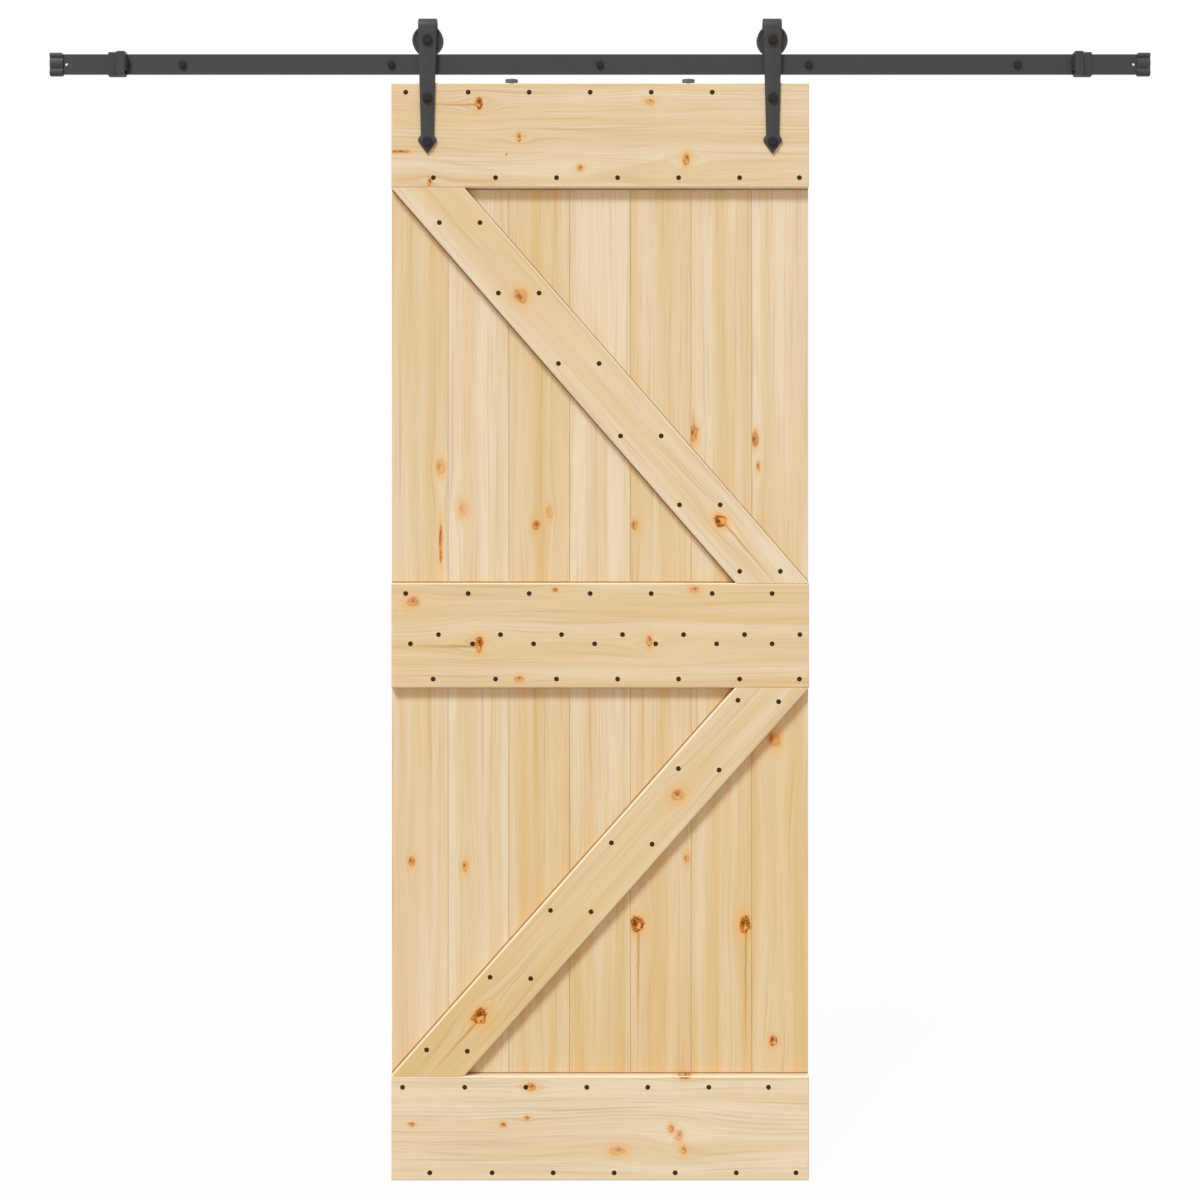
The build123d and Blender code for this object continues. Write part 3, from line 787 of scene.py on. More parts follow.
@dataclass(frozen=True)
class Piece:
    """What a new piece is called and stands for.

    Attributes:
        name: Name of its object.
        body: CAD body that it rides on.
        finish: Its finish, with its material slot.
        node: CAD node that it replaces.
        crease: Angle in degrees from which an edge stays sharp.
    """

    name: str
    body: str
    finish: Hardware
    node: str
    crease: float = 32.0

    def put(self, surface: Surface) -> None:
        """Make the object, with its poles and seams closed and its faces pointing outwards.

        Args:
            surface: Its shape.
        """
        mesh = bpy.data.meshes.new(self.name)
        mesh.from_pydata(surface.points.tolist(), [], surface.faces.tolist())
        solid = self.merged(mesh)
        bmesh.ops.recalc_face_normals(solid, faces=solid.faces)
        self.settle(solid, mesh)

    def ease(self, width: float) -> None:
        """Make the object as a merged copy of its CAD node with the sharp edges rounded.

        Args:
            width: Width of the rounding in metres.
        """
        solid = self.merged(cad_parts[self.node].data)
        bmesh.ops.dissolve_limit(solid, angle_limit=FLAT_ANGLE, verts=solid.verts, edges=solid.edges)
        made = self.settle(solid, bpy.data.meshes.new(self.name))
        bevel = made.modifiers.new("eased_edges", "BEVEL")
        bevel.width = width
        bevel.segments = 2
        bevel.limit_method = "ANGLE"
        bevel.angle_limit = EASED_ANGLE
        bevel.use_clamp_overlap = True
        bevel.harden_normals = True

    @staticmethod
    def merged(mesh: bpy.types.Mesh) -> bmesh.types.BMesh:
        """Copy of a mesh whose points at one place are merged.

        Args:
            mesh: The mesh.

        Returns:
            The copy, for editing.
        """
        solid = bmesh.new()
        solid.from_mesh(mesh)
        bmesh.ops.remove_doubles(solid, verts=solid.verts, dist=MERGE_DISTANCE)
        return solid

    def settle(self, solid: bmesh.types.BMesh, mesh: bpy.types.Mesh) -> bpy.types.Object:
        """Shade the shape, give it its finish and put it in the scene on its body.

        Args:
            solid: The finished shape.
            mesh: The mesh that takes it up.

        Returns:
            The object.
        """
        solid.to_mesh(mesh)
        solid.free()
        mesh.shade_smooth()
        mesh.set_sharp_from_angle(angle=math.radians(self.crease))
        mesh.materials.clear()
        mesh.materials.append(finish_of(self.finish))
        made = linked(self.name, mesh)
        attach(made, self.body)
        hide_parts(self.node)
        log.info("%s: %d faces for %s", self.name, len(mesh.polygons), self.node)
        return made


def solid_boxes(node: str) -> np.ndarray:
    """Boxes of the separate solids in a CAD node.

    Corners at one place share a label, and every triangle hands its lowest label to its corners until
    no label changes. Then each label left is one solid.

    Args:
        node: The node.

    Returns:
        Lowest and highest corner of each solid, from left to right.
    """
    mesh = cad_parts[node].data
    points = np.empty(3 * len(mesh.vertices))
    mesh.vertices.foreach_get("co", points)
    points = points.reshape(-1, 3)
    corners = np.empty(len(mesh.loops), dtype=np.int64)
    mesh.loops.foreach_get("vertex_index", corners)
    _, merged = np.unique(points.round(6), axis=0, return_inverse=True)
    triangles = merged.reshape(-1)[corners].reshape(-1, 3)
    labels = np.arange(merged.max() + 1)
    settled = False
    while not settled:
        lowest = labels.copy()
        np.minimum.at(lowest, triangles, labels[triangles].min(axis=1)[:, None])
        settled = bool((lowest == labels).all())
        labels = lowest
    owner = labels[merged.reshape(-1)]
    boxes = [(points[owner == one].min(0), points[owner == one].max(0)) for one in np.unique(owner)]
    return np.array(sorted(boxes, key=lambda box: tuple(box[0])))


def rounded(corners: list[tuple[float, float, float]], steps: int = 4) -> np.ndarray:
    """Profile whose corners are rounded.

    Each corner becomes the curve (1-t)^2 A + 2t(1-t) P + t^2 B, where A and B lie on its two sides at
    the distance of its rounding.

    Args:
        corners: Radius, height and rounding of each corner, from end to end, in metres.
        steps: Points on a rounding.

    Returns:
        Rows of radius and height.
    """
    places = np.array([corner[:2] for corner in corners])
    t = np.linspace(0.0, 1.0, steps)[:, None]
    rows = [places[:1]]
    for before, at, after, corner in zip(places, places[1:], places[2:], corners[1:]):
        start = at + (before - at) / np.linalg.norm(before - at) * corner[2]
        end = at + (after - at) / np.linalg.norm(after - at) * corner[2]
        arc = (1 - t) ** 2 * start + 2 * t * (1 - t) * at + t**2 * end
        rows.append(arc if corner[2] else at[None])
    return np.concatenate([*rows, places[-1:]])


def full_turn(sides: int) -> np.ndarray:
    """Angles of a full turn in equal steps, from end to end."""
    return np.linspace(0.0, 2 * np.pi, sides + 1)


def turned(profile: np.ndarray, sides: int) -> Surface:
    """Profile, in rows of radius and height, turned about the Y axis."""
    return Surface.spun(profile[:, :1], profile[:, 1:], full_turn(sides))


def six_sided(across: float, front: float, back: float, bore: float = 0.0) -> Surface:
    """Hexagon head, or nut where it has a bore, about the Y axis, with corners at top and bottom.

    The outline is r(a) = half the width over cos(a mod 60 - 30 degrees). A cone cuts the corners:
    beyond the circle inside the outline, the face falls back by the excess radius times a slope. A
    nut has the cone on both faces.

    Args:
        across: Width across flats.
        front: Y of the front face.
        back: Y of the back face.
        bore: Radius of the hole, or zero.

    Returns:
        The surface.
    """
    circle_share, slope = 0.47, 0.47
    circle = circle_share * across
    angle, sixth = full_turn(ROUND_SIDES), np.pi / 3
    edge = across / 2 / np.cos(np.mod(angle + 1e-9, sixth) - sixth / 2)
    fall = slope * np.maximum(edge - circle, 0.0)
    nut = bore > 0
    rows = [(bore, front), (circle, front), (edge, front + fall), (edge, back - fall * nut)]
    rows += [(circle, back), (bore, back)] + [(bore, front)] * nut
    radius, y = (np.stack([0 * angle + row[part] for row in rows]) for part in (0, 1))
    return Surface.spun(radius, y, angle)


def threaded(
    plain: np.ndarray, crest: float, depth: float, pitch: float, span: tuple[float, float], point: float
) -> Surface:
    """Plain shank and screw thread about the Y axis, as one closed shape.

    The thread's radius is crest - depth (1 - cos(2 pi y / pitch - a)) / 2, so a crest goes one pitch
    along in a turn. It shrinks evenly over the length of the point.

    Args:
        plain: Rows of radius and height of the plain shank, from the axis to just before the thread.
        crest: Radius of the crests.
        depth: Depth of the thread.
        pitch: Advance in one turn.
        span: Y where the thread begins and ends.
        point: Length of the tapering point, or zero.

    Returns:
        The surface.
    """
    angle, rows_in_turn = full_turn(SHANK_SIDES), 6
    start, end = span
    y = np.linspace(start, end, rows_in_turn * math.ceil((end - start) / pitch) + 1)[:, None]
    r = crest - depth * (1 - np.cos(2 * np.pi * (y - start) / pitch - angle)) / 2
    if point:
        r = r * np.clip((end - y) / point, 0.0, 1.0)
    r = np.concatenate([plain[:, :1] + 0 * angle, r, 0 * r[:1]])
    return Surface.spun(r, np.concatenate([plain[:, 1:], y, y[-1:]]), angle)


def crossed_screw(face: np.ndarray, shank: np.ndarray, depth: float, reach: float) -> Surface:
    """Screw about the Y axis with a cross recess.

    The recess goes in by depth |cos 2a|^4 (1 - r / reach), which has four lobes and is deepest in the
    middle.

    Args:
        face: Rows of radius and height that the recess may cut, from the axis.
        shank: Rows of radius and height from there to the tip.
        depth: Depth of the recess along Y.
        reach: Radius at which its lobes end.

    Returns:
        The surface.
    """
    angle = full_turn(SHANK_SIDES)
    radius = face[:, :1]
    sunk = depth * np.abs(np.cos(2 * angle)) ** 4 * np.clip(1 - radius / reach, 0.0, 1.0)
    sunk[0] = depth
    y = np.concatenate([face[:, 1:] + sunk, shank[:, 1:] + 0 * angle])
    return Surface.spun(np.concatenate([radius, shank[:, :1]]), y, angle)


@dataclass
class Leaf:
    """The pine leaf and the wood screws that hold it together."""

    shank_radius: float = 0.0019
    screw_length: float = 0.036
    tip_length: float = 0.006
    head_depth: float = 0.0028
    dome: float = 0.00004
    recess_reach: float = 0.0025
    recess_depth: float = 0.00012
    face_radii: tuple[float, ...] = (0.0, 0.0007, 0.0014, 0.0021, 0.0027, 0.0042, 0.0047)

    timbers: tuple[Timber, ...] = (
        Timber("board_1", Grain.BOARD, (0.55, 0.35), (150, 50), 5.2, (
            Knot(-307, -773, 10, 1.6, 0.05), Knot(-362, -1530, 7, 1.4, 0.35),
            Knot(-306, -918, 3.6, 12.0, 0.5))),
        Timber("board_2", Grain.BOARD, (0.14, 0.28), (-170, 60), 6.0, (
            Knot(-264, -853, 9, 1.8, 0.0), Knot(-259, -1540, 6, 2.2, 0.2))),
        Timber("board_3", Grain.BOARD, (0.64, 0.73), (140, 45), 5.6, (
            Knot(-121, -884, 8, 1.2, 0.35), Knot(-98, -859, 7, 1.9, 0.0))),
        Timber("board_4", Grain.BOARD, (0.1, 0.6), (-160, 70), 6.4),
        Timber("board_5", Grain.BOARD, (0.45, 0.76), (180, 55), 5.0, (
            Knot(66, -884, 8, 1.2, 0.3), Knot(71, -1652, 12, 1.45, 0.9, -300),
            Knot(166, -1524, 6, 1.6, 0.2))),
        Timber("board_6", Grain.BOARD, (0.42, 0.63), (-150, 50), 5.8, (
            Knot(179, -710, 9, 2.0, 0.4, 70), Knot(278, -1652, 11.5, 1.5, 0.9, -300))),
        Timber("board_7", Grain.BOARD, (0.2, 0.68), (-170, 60), 5.4, (
            Knot(297, -719, 8, 1.9, 0.35), Knot(335, -1294, 14, 1.3, 0.15), Knot(333, -1875, 8, 1.3, 0.6),
            Knot(304, -771, 4, 2.2, 0.5))),
        Timber("top_rail", Grain.RAIL, (0.36, 0.36), (75, 110), 5.0, (
            Knot(-232, -77, 11, 0.65, 0.8, -150), Knot(-155, -142, 8, 0.5, 0.45),
            Knot(-38, -200, 7, 1.0, 0.25), Knot(165, -183, 13, 0.6, 0.45), Knot(96, -73, 6, 1.5, 0.1),
            Knot(-326, -228, 9, 0.4, 0.5), Knot(-179, -174, 3, 0.7, 0.8), Knot(-385, -169, 3, 7.0, 0.5))),
        Timber("middle_rail", Grain.RAIL, (0.55, 0.55), (-70, 100), 4.8, (
            Knot(-360, -1030, 11, 1.2, 0.2), Knot(-86, -1007, 4, 1.4, 0.4), Knot(180, -1007, 8, 1.2, 0.12),
            Knot(-231, -1112, 14, 0.55, 0.85, -160), Knot(94, -1106, 12, 0.5, 0.3),
            Knot(-155, -1177, 6, 1.6, 0.2))),
        Timber("bottom_rail", Grain.RAIL, (0.08, 0.08), (85, 110), 5.2, (
            Knot(-360, -2030, 4, 1.4, 0.5), Knot(-186, -2030, 5, 1.3, 0.4), Knot(-132, -1958, 8, 1.3, 0.45),
            Knot(-140, -2017, 4, 1.4, 0.4), Knot(33, -2080, 9, 1.8, 0.05), Knot(136, -2037, 8, 0.8, 0.3),
            Knot(151, -2052, 10, 0.7, 0.1), Knot(160, -2078, 8, 0.8, 0.35), Knot(163, -1937, 6, 2.0, 0.6))),
        Timber("upper_brace", Grain.UPPER_BRACE, (0.3, 0.3), (60, 75), 5.2, (
            Knot(-151, -445, 13, 1.2, 0.25), Knot(230, -875, 11.5, 1.2, 0.9, -200)), 0.05275),
        Timber("lower_brace", Grain.LOWER_BRACE, (-0.15, 0.75), (-62, 80), 5.2, (
            Knot(149, -1400, 12, 1.2, 0.15), Knot(-230, -1823, 14, 1.2, 0.85, -180)), 0.05275),
    )
    screw_nodes: tuple[str, ...] = ("top_rail_screws", "middle_rail_screws", "bottom_rail_screws",
                                    "upper_brace_screws", "lower_brace_screws")

    def build(self) -> None:
        """Dress the timbers and put in the screws."""
        pine = PineFinish()
        frame_timbers = [timber for timber in self.timbers if timber.grain is not Grain.BOARD]
        for seed, timber in enumerate(self.timbers, start=1):
            # Boards get painted shade lines along the rails and braces that lie on them
            on_top = frame_timbers if timber.grain is Grain.BOARD else []
            dress(timber.node, pine.material(timber, seed, on_top))
        screw = self.screw()
        for node in self.screw_nodes:
            boxes = solid_boxes(node)
            places = boxes.mean(axis=1)
            places[:, 1] = boxes[:, 0, 1]
            Piece(f"{node}_crossed", "door", Hardware.SCREW, node).put(screw.at(places))

    def screw(self) -> Surface:
        """Countersunk wood screw with a slightly domed head at the origin, pointing along Y.

        Returns:
            The surface.
        """
        radius, shank, length = np.array(self.face_radii), self.shank_radius, self.screw_length
        face = np.stack([radius, self.dome * (radius / radius[-1]) ** 2], axis=1)
        rest = np.array([[shank, self.head_depth], [shank, length - self.tip_length], [0.0, length]])
        return crossed_screw(face, rest, self.recess_depth, self.recess_reach)


@dataclass
class Hangers:
    """Strap hangers with their axles, bolts and sleeve nuts, and the anti-jump discs under the track."""

    mid_y: float = -0.035
    bend_radius: float = 0.0145
    thickness: float = 0.005
    edge: float = 0.0007
    top_half: float = 0.01775
    taper_drop: float = 0.0022
    front_y: float = -0.052
    rear_y: float = -0.018
    leaf_back_y: float = -0.007
    head_across: float = 0.017
    head_height: float = 0.0064
    nut_height: float = 0.008
    axle_radius: float = 0.005
    axle_proud: float = 0.0015
    thread_depth: float = 0.0006
    thread_pitch: float = 0.0015
    thread_gap: float = 0.0004
    bolt_radius: float = 0.005
    bolt_inset: float = 0.001
    flange_height: float = 0.0025
    flange_radii: tuple[float, ...] = (0.0, 0.001, 0.004, 0.0075, 0.0092, 0.010)
    flange_falls: tuple[float, ...] = (0.0, 0.0, 0.0, 0.0, 0.0004, 0.0012)
    sleeve_radius: float = 0.0065
    sleeve_length: float = 0.019
    slot_half: float = 0.0012
    slot_depth: float = 0.001
    disc_radius: float = 0.012
    disc_height: float = 0.008
    disc_edge: float = 0.0004
    mouth_edge: float = 0.0003
    disc_bore: float = 0.0024
    sink_radius: float = 0.0048
    sink_floor: float = 0.0052
    screw_seat: float = 0.0054
    screw_reaches: tuple[float, float] = (0.036, 0.040)
    screw_radii: tuple[float, ...] = (0.0, 0.0008, 0.0016, 0.0024, 0.0038, 0.0045)
    screw_edge: float = 0.0004
    recess_depth: float = 0.0012
    recess_reach: float = 0.0026

    # Arrow head: heights above its tip and half widths there, from the neck down
    arrow_rises: tuple[float, ...] = (0.0355, 0.0340, 0.0286, 0.0269, 0.0248, 0.0226, 0.0198, 0.0010)
    arrow_halves: tuple[float, ...] = (0.0124, 0.0129, 0.0168, 0.0177, 0.01785, 0.0173, 0.0150, 0.0012)

    def __post_init__(self) -> None:
        """Take the places of straps, axles, bolts and discs from the CAD nodes."""
        low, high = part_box("hanger_strap_right")
        self.offset = (low.x + high.x) / 2
        self.tip_z = low.z
        self.bend_z = high.z - self.bend_radius - self.thickness / 2
        self.axles = solid_boxes("axle_bolts").mean(axis=1) * (1, 0, 1)
        self.axle_z = self.axles[0, 2]
        self.bolts = solid_boxes("strap_bolts").mean(axis=1) * (1, 0, 1)
        discs = solid_boxes("anti_jump_discs")
        self.discs = np.concatenate([discs.mean(axis=1)[:, :2], discs[:, 0, 2:]], axis=1)

    def build(self) -> None:
        """Put in the straps, axles, bolts, nuts and discs."""
        strap = self.strap()
        for side, name in ((-1, "left"), (1, "right")):
            piece = Piece(f"strap_{name}", "door", Hardware.COAT, f"hanger_strap_{name}")
            piece.put(strap.at(np.array([side * self.offset, 0.0, 0.0])))
        nut = six_sided(self.head_across, self.rear_y, self.rear_y + self.nut_height, self.axle_radius)
        for name, node, shape in (
            ("axle_hex_bolts", "axle_bolts", self.axle_bolt().at(self.axles)),
            ("axle_hex_nuts", "axle_nuts", nut.at(self.axles)),
            ("strap_hex_bolts", "strap_bolts", self.strap_bolt().at(self.bolts)),
        ):
            Piece(name, "door", Hardware.FASTENER, node, HEX_CREASE).put(shape)
        piece = Piece("slotted_sleeve_nuts", "door", Hardware.FASTENER, "sleeve_nuts")
        piece.put(self.sleeve_nut().at(self.bolts))
        self.build_discs()
        dress("axle_sleeves", finish_of(Hardware.FASTENER))

    def strap(self) -> Surface:
        """Flat bar bent over the wheel: a rounded rectangle carried along the line of the strap.

        The line goes up the front leg, round a half circle and down the rear leg. The half width along
        it is read from the arrow's corners in front, and is root of (w squared - drop squared) at the
        round end behind. A point is the line's centre, plus its share of the half width along X, plus
        its share of the thickness along the line's normal.

        Returns:
            The surface, about X = 0.
        """
        corners = [self.tip_z + rise for rise in self.arrow_rises]
        heights = np.array([self.bend_z - self.taper_drop, *corners])
        halves = np.array([self.top_half, *self.arrow_halves])
        neck, *_, flank, tip = self.arrow_rises
        flank_rows, neck_rows = np.linspace(tip, flank, 8)[:-1], np.linspace(flank, neck, 18)
        rise = np.concatenate([[0.0, 0.0004], flank_rows, neck_rows])
        leg_z = np.linspace(heights[1], heights[0], 12)[1:]
        front_z = np.concatenate([self.tip_z + rise, leg_z, [self.bend_z]])
        front_half = np.interp(front_z, heights[::-1], halves[::-1])
        front_half[:2] = 0.0, 0.0008
        turn = np.linspace(0.0, np.pi, 24)[1:-1]
        sweep = np.linspace(0.0, np.pi / 2, 14)
        rear_z = np.concatenate([[self.bend_z], self.axle_z - self.top_half * np.sin(sweep)])
        rear_half = np.concatenate([[self.top_half], self.top_half * np.cos(sweep)])
        half = np.concatenate([front_half, 0 * turn + self.top_half, rear_half])
        normal_y = np.concatenate([0 * front_z - 1, -np.cos(turn), 0 * rear_z + 1])
        normal_z = np.concatenate([0 * front_z, np.sin(turn), 0 * rear_z])
        centre_z = np.concatenate([front_z, self.bend_z + self.bend_radius * np.sin(turn), rear_z])
        centre_y = self.mid_y + self.bend_radius * normal_y
        corner = np.repeat(np.arange(4), 4)
        angle = (corner + np.tile(np.linspace(0.0, 1.0, 4), 4)) * np.pi / 2
        angle, corner = np.append(angle, 0.0), np.append(corner, 0)
        side_x = np.where((corner == 0) | (corner == 3), 1.0, -1.0)
        side_n = np.where(corner < 2, 1.0, -1.0)
        edge = np.minimum(self.edge, 0.5 * half)[:, None]
        x = side_x * (half[:, None] - edge) + edge * np.cos(angle)
        n = side_n * (self.thickness / 2 - edge) + edge * np.sin(angle)
        y = centre_y[:, None] + n * normal_y[:, None]
        z = centre_z[:, None] + n * normal_z[:, None]
        return Surface.from_grid(np.stack([x, y, z], axis=-1))

    def head(self) -> Surface:
        """Hexagon head that lies on the front of the strap."""
        return six_sided(self.head_across, self.front_y - self.head_height, self.front_y)

    def axle_bolt(self) -> Surface:
        """Hex bolt through strap and wheel, its threaded end just behind the nut.

        Returns:
            The surface.
        """
        radius, end_y = self.axle_radius, self.rear_y + self.nut_height + self.axle_proud
        plain = np.array([[0, self.front_y], [radius, self.front_y], [radius, self.rear_y]])
        span = (self.rear_y + self.thread_gap, end_y)
        return Surface.joined(
            self.head(), threaded(plain, radius, self.thread_depth, self.thread_pitch, span, 0.0)
        )

    def strap_bolt(self) -> Surface:
        """Hex bolt through strap and leaf.

        Returns:
            The surface.
        """
        radius, end_y = self.bolt_radius, self.leaf_back_y - self.bolt_inset
        shank = np.array([[0, self.front_y], [radius, self.front_y], [radius, end_y], [0, end_y]])
        return Surface.joined(self.head(), turned(shank, SHANK_SIDES))

    def sleeve_nut(self) -> Surface:
        """Sleeve nut with a low domed flange, slotted for a driver.

        The flange is sunk by the slot's depth within half the slot's width of a line along X.

        Returns:
            The surface.
        """
        base, sleeve, foot = self.leaf_back_y, self.sleeve_radius, self.leaf_back_y - self.sleeve_length
        flange = np.array([self.flange_radii, base + self.flange_height - np.array(self.flange_falls)]).T
        rest = [[self.flange_radii[-1], base], [sleeve, base], [sleeve, foot], [0.0, foot]]
        radius, y = np.split(np.concatenate([flange, rest]), 2, axis=1)
        angle = full_turn(ROUND_SIDES)
        in_slot = (np.abs(radius * np.cos(angle)) < self.slot_half) & (y > base + self.slot_depth)
        return Surface.spun(radius, y - self.slot_depth * in_slot, angle)

    def build_discs(self) -> None:
        """Put in the anti-jump discs and their countersunk screws."""
        top, floor, edge = self.disc_height, self.sink_floor, self.disc_edge
        sink, outer, bore = self.sink_radius, self.disc_radius, self.disc_bore
        section = [(sink, floor, 0), (sink, top, self.mouth_edge), (outer, top, edge), (outer, 0.0, edge)]
        section += [(bore, 0.0, 0), (bore, floor, 0), (sink, floor, 0)]
        disc = turned(rounded(section), ROUND_SIDES)
        *flat, head = self.screw_radii
        shank_end, tip = (top - reach for reach in self.screw_reaches)
        face = [(radius, top) for radius in flat] + [(head, top - self.screw_edge), (head, self.screw_seat)]
        face += [(bore, self.screw_seat), (bore, shank_end)]
        screw = crossed_screw(np.array(face), np.array([[0.0, tip]]), -self.recess_depth, self.recess_reach)
        for name, finish, node, shape in (
            ("guide_discs", Hardware.DISC, "anti_jump_discs", disc),
            ("guide_disc_screws", Hardware.SCREW, "disc_screws", screw),
        ):
            Piece(name, "door", finish, node).put(shape.upright().at(self.discs))


@dataclass
class Wheels:
    """Grooved nylon wheels on sealed bearings."""

    bore: float = 0.01302
    hub_radius: float = 0.0158
    web_radii: tuple[float, float] = (0.0166, 0.0240)
    rim_radius: float = 0.0249
    flange: float = 0.0294
    groove: float = 0.0257
    groove_halves: tuple[float, float] = (0.0053, 0.0041)
    half_width: float = 0.009
    hub_sink: float = 0.0004
    web_sink: float = 0.0012
    edge: float = 0.0004
    bore_edge: float = 0.0003
    flange_edge: float = 0.0009
    groove_edge: float = 0.0006
    bearing_bore: float = 0.00505
    bearing_outer: float = 0.013
    bearing_half: float = 0.004
    ring_radii: tuple[float, float] = (0.0072, 0.0110)
    shield_radii: tuple[float, float] = (0.0074, 0.0108)
    shield_sink: float = 0.0005

    def build(self) -> None:
        """Put in both wheels and their bearings."""
        wheel, bearing = turned(self.wheel(), WHEEL_SIDES), turned(self.bearing(), BEARING_SIDES)
        for side in ("left", "right"):
            body = f"wheel_{side}"
            centre = solid_boxes(body).mean(axis=1)
            Piece(f"grooved_wheel_{side}", body, Hardware.NYLON, body).put(wheel.at(centre))
            piece = Piece(f"sealed_bearing_{side}", body, Hardware.STEEL, f"wheel_bearing_{side}")
            piece.put(bearing.at(centre))

    def bearing(self) -> np.ndarray:
        """Section of a bearing: inner and outer ring with a shield sunk between them on both faces.

        Returns:
            Rows of radius and height.
        """
        half, shield = self.bearing_half, self.bearing_half - self.shield_sink
        front = [(self.bearing_bore, half, 0.0003), (self.ring_radii[0], half, 0.0002)]
        front += [(radius, shield, 0.0001) for radius in self.shield_radii]
        front += [(self.ring_radii[1], half, 0.0002), (self.bearing_outer, half, 0.0004)]
        return self.mirrored(front)

    def wheel(self) -> np.ndarray:
        """Section of a wheel: bore, hub, shallow web, rounded flanges and a groove with sloping sides.

        Returns:
            Rows of radius and height.
        """
        face, edge, (mouth, floor) = self.half_width, self.edge, self.groove_halves
        hub, web = face - self.hub_sink, face - self.web_sink
        front = [(self.bore, hub, self.bore_edge), (self.hub_radius, hub, edge)]
        front += [(radius, web, edge) for radius in self.web_radii]
        front += [(self.rim_radius, face, edge), (self.flange, face, self.flange_edge)]
        front += [(self.flange, mouth, self.groove_edge), (self.groove, floor, self.groove_edge)]
        return self.mirrored(front)

    @staticmethod
    def mirrored(front: list[tuple[float, float, float]]) -> np.ndarray:
        """Closed section with a back like its front.

        Args:
            front: Radius, height and rounding of the front's corners, from the bore outwards.

        Returns:
            Rows of radius and height.
        """
        back = [(radius, -height, edge) for radius, height, edge in reversed(front)]
        start = (front[0][0], 0.0, 0.0)
        return rounded([start, *front, *back, start])


@dataclass
class Track:
    """Flat track with its wall bolts, spacers, stops and end caps."""

    bolt_places: tuple[float, ...] = (-0.8, -0.4, 0.0, 0.4, 0.8)
    front_y: float = -0.038
    back_y: float = -0.032
    bar_edge: float = 0.0005
    stop_edge: float = 0.00034
    bumper_edge: float = 0.0007
    cap_edge: float = 0.0006
    head_across: float = 0.013
    head_height: float = 0.0055
    shank_radius: float = 0.004
    shank_end: float = -0.001
    thread_radius: float = 0.0035
    thread_depth: float = 0.0009
    thread_pitch: float = 0.0035
    thread_length: float = 0.050
    point_length: float = 0.010
    spacer_radius: float = 0.010
    spacer_bore: float = 0.0043
    spacer_edges: tuple[float, float] = (0.0004, 0.0006)

    def build(self) -> None:
        """Dress the bar, stops and caps, and put in the bolts and spacers."""
        Piece("track_bar", "track", Hardware.TRACK, "track_rail").ease(self.bar_edge)
        for side in ("left", "right"):
            for name, finish, node, edge in (
                ("clamp_stop", Hardware.COAT, "stop_body", self.stop_edge),
                ("rubber_bumper", Hardware.RUBBER, "stop_bumper", self.bumper_edge),
                ("ribbed_cap", Hardware.CAP, "end_cap", self.cap_edge),
            ):
                Piece(f"{name}_{side}", "track", finish, f"{node}_{side}").ease(edge)
        dress("stop_grub_screws", finish_of(Hardware.FASTENER))
        places = np.array([[x, 0.0, 0.0] for x in self.bolt_places])
        piece = Piece("lag_bolts", "track", Hardware.FASTENER, "wall_bolts", HEX_CREASE)
        piece.put(self.lag_bolt().at(places))
        Piece("spacer_tubes", "track", Hardware.COAT, "wall_spacers").put(self.spacer().at(places))

    def lag_bolt(self) -> Surface:
        """Hex lag bolt with a plain shank, a coarse thread and a point.

        Returns:
            The surface.
        """
        front, radius, span = self.front_y, self.shank_radius, (0.0, self.thread_length)
        head = six_sided(self.head_across, front - self.head_height, front)
        plain = np.array([[0, front], [radius, front], [radius, self.shank_end]])
        thread = (self.thread_radius, self.thread_depth, self.thread_pitch)
        return Surface.joined(head, threaded(plain, *thread, span, self.point_length))

    def spacer(self) -> Surface:
        """Spacer tube with eased ends.

        Returns:
            The surface.
        """
        bore, radius, back = self.spacer_bore, self.spacer_radius, self.back_y
        inner, outer = self.spacer_edges
        section = [(bore, back / 2, 0), (bore, back, inner), (radius, back, outer), (radius, 0.0, outer)]
        section += [(bore, 0.0, inner), (bore, back / 2, 0)]
        return turned(rounded(section), ROUND_SIDES)


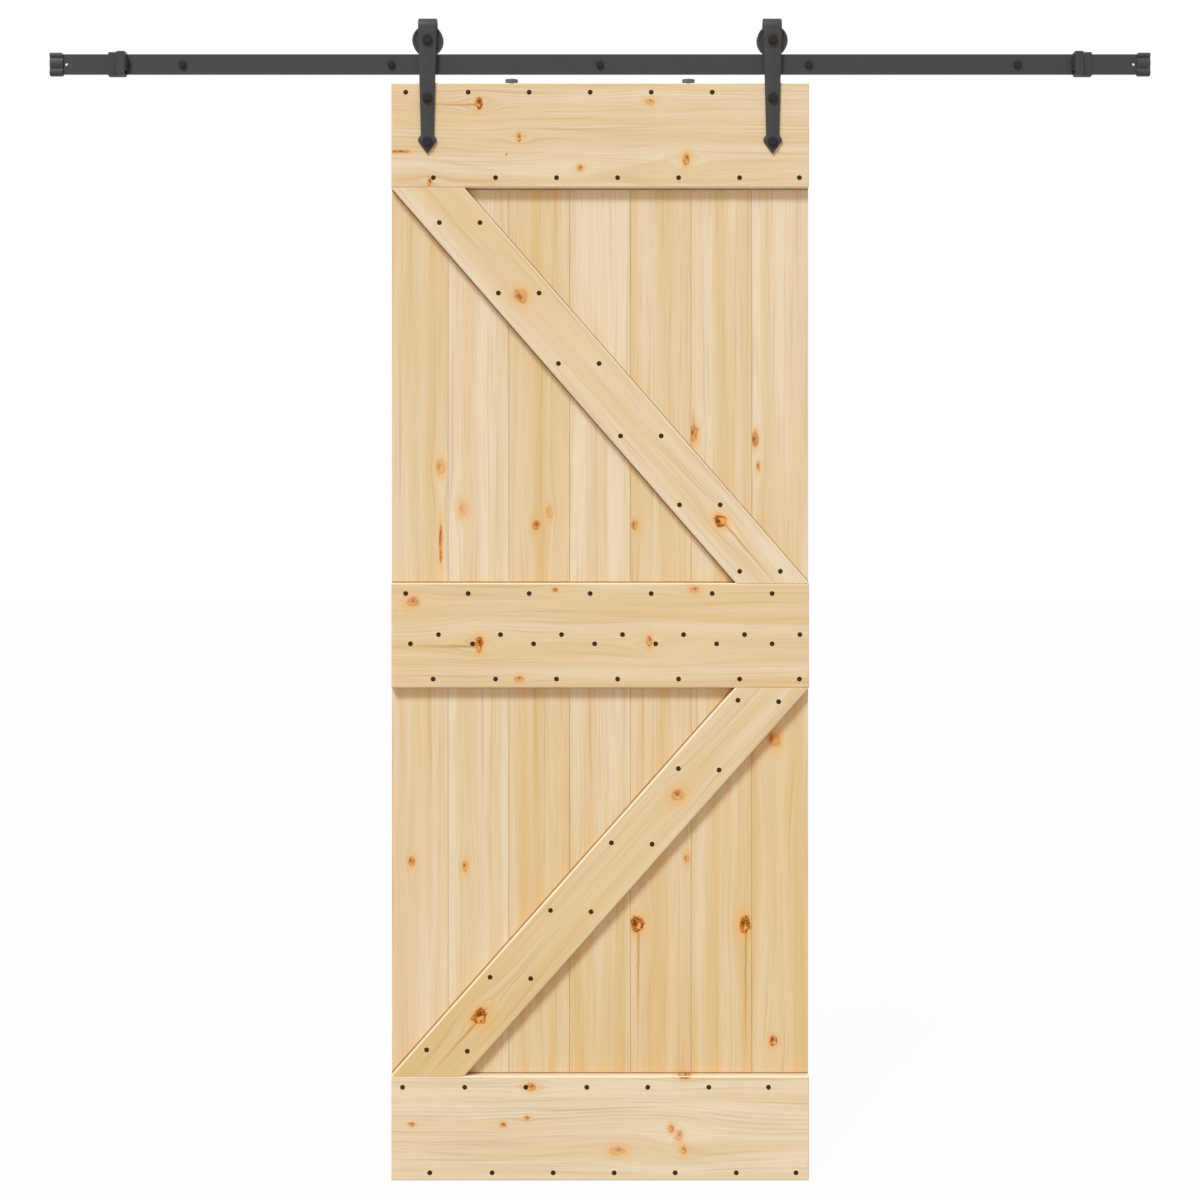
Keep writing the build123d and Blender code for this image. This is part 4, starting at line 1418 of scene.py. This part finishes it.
@dataclass
class Studio:
    """Pale floor, soft light from the upper left, white background and a level camera."""

    floor_gap: float = 0.015
    floor_reach: float = 20.0
    floor_colour: str = "C2C2C2"
    floor_white: float = 0.96
    camera_distance: float = 4.2
    sensor: float = 36.0
    front_y: float = -0.047
    camera_z: float = -0.7969
    pixel: float = 0.0019127
    frame_pixels: float = 1200.0
    shift: float = -0.1
    key_strength: float = 2.52
    key_way: tuple[float, float, float] = (9.6, 20.0, -25.4)
    back_strength: float = 1.3
    back_way: tuple[float, float, float] = (-8.0, -20.0, -12.0)
    lamp_angle: float = 15.0
    lamp_colour: tuple[float, float, float] = (0.79, 1.0, 1.2)
    ambient: tuple[float, float, float] = (0.61, 0.44, 0.31)

    def build(self) -> None:
        """Make the floor, lights, world and camera, and set the plain view transform."""
        self.floor()
        self.lamp("key_light", self.key_strength, self.key_way)
        self.lamp("back_light", self.back_strength, self.back_way)
        self.world()
        self.camera()
        bpy.context.scene.view_settings.view_transform = "Standard"

    def floor(self) -> None:
        """Pale floor that shows almost white to the camera, and keeps a faint shadow."""
        reach = np.array([-self.floor_reach, self.floor_reach])
        height = cad_box[0].z - self.floor_gap
        grid = np.stack(np.broadcast_arrays(reach[:, None], reach[None], height), axis=-1)
        surface = Surface.from_grid(grid)
        mesh = bpy.data.meshes.new("floor")
        mesh.from_pydata(surface.points.tolist(), [], surface.faces.tolist())
        linked("floor", mesh)
        material, graph, shader = new_material("pale_floor")
        graph.tree.nodes.remove(shader)
        matt = graph.node("ShaderNodeBsdfDiffuse", {"Color": tint(self.floor_colour)}).outputs[0]
        white = graph.node("ShaderNodeEmission", {"Strength": 1.0}).outputs[0]
        share = self.seen(graph) * self.floor_white
        mixed = graph.node("ShaderNodeMixShader", {0: share, 1: matt, 2: white}).outputs[0]
        graph.feed(graph.tree.nodes["Material Output"].inputs["Surface"], mixed)
        mesh.materials.append(material)

    @staticmethod
    def seen(graph: Graph) -> Wire:
        """Number that is 1 where the camera sees a surface, straight, by reflection or through glass.

        Args:
            graph: Tree of the material or world.

        Returns:
            The number.
        """
        rays = graph.node("ShaderNodeLightPath").outputs
        straight = Wire(graph, rays["Is Camera Ray"])
        return straight.highest(rays["Is Glossy Ray"]).highest(rays["Is Transmission Ray"])

    def lamp(self, name: str, strength: float, way: tuple[float, float, float]) -> None:
        """One broad, far light.

        Args:
            name: Name of the light.
            strength: Its strength.
            way: Direction that its rays take.
        """
        light = bpy.data.lights.new(name, "SUN")
        light.energy = strength
        light.color = self.lamp_colour
        light.angle = math.radians(self.lamp_angle)
        linked(name, light).rotation_euler = Vector(way).to_track_quat("-Z", "Y").to_euler()

    def world(self) -> None:
        """Even light from all round, and white where the camera sees past the object."""
        world = bpy.data.worlds.new("studio")
        bpy.context.scene.world = world
        world.use_nodes = True
        graph = Graph(world.node_tree)
        world.node_tree.nodes.clear()
        soft, white = (
            graph.node("ShaderNodeBackground", {"Color": (*colour, 1.0), "Strength": 1.0}).outputs[0]
            for colour in (self.ambient, (1.0, 1.0, 1.0))
        )
        mixed = graph.node("ShaderNodeMixShader", {0: self.seen(graph), 1: soft, 2: white}).outputs[0]
        graph.node("ShaderNodeOutputWorld", {"Surface": mixed})

    def camera(self) -> None:
        """Level camera in front of the leaf, with the leaf's front at the photograph's scale."""
        lens = bpy.data.cameras.new("camera")
        lens.sensor_width = self.sensor
        lens.lens = self.sensor * self.camera_distance / self.pixel / self.frame_pixels
        lens.shift_y = self.shift
        camera = linked("camera", lens)
        camera.location = (0.0, self.front_y - self.camera_distance, self.camera_z)
        camera.rotation_euler = (math.pi / 2, 0.0, 0.0)
        bpy.context.scene.camera = camera


def main() -> None:
    """Build the sub-assemblies and the studio in order."""
    logging.basicConfig(level=logging.INFO, format="%(name)s %(message)s")
    for assembly in (Leaf(), Hangers(), Wheels(), Track(), Studio()):
        assembly.build()
        log.info("%s done", type(assembly).__name__)


if __name__ == "__main__":
    main()
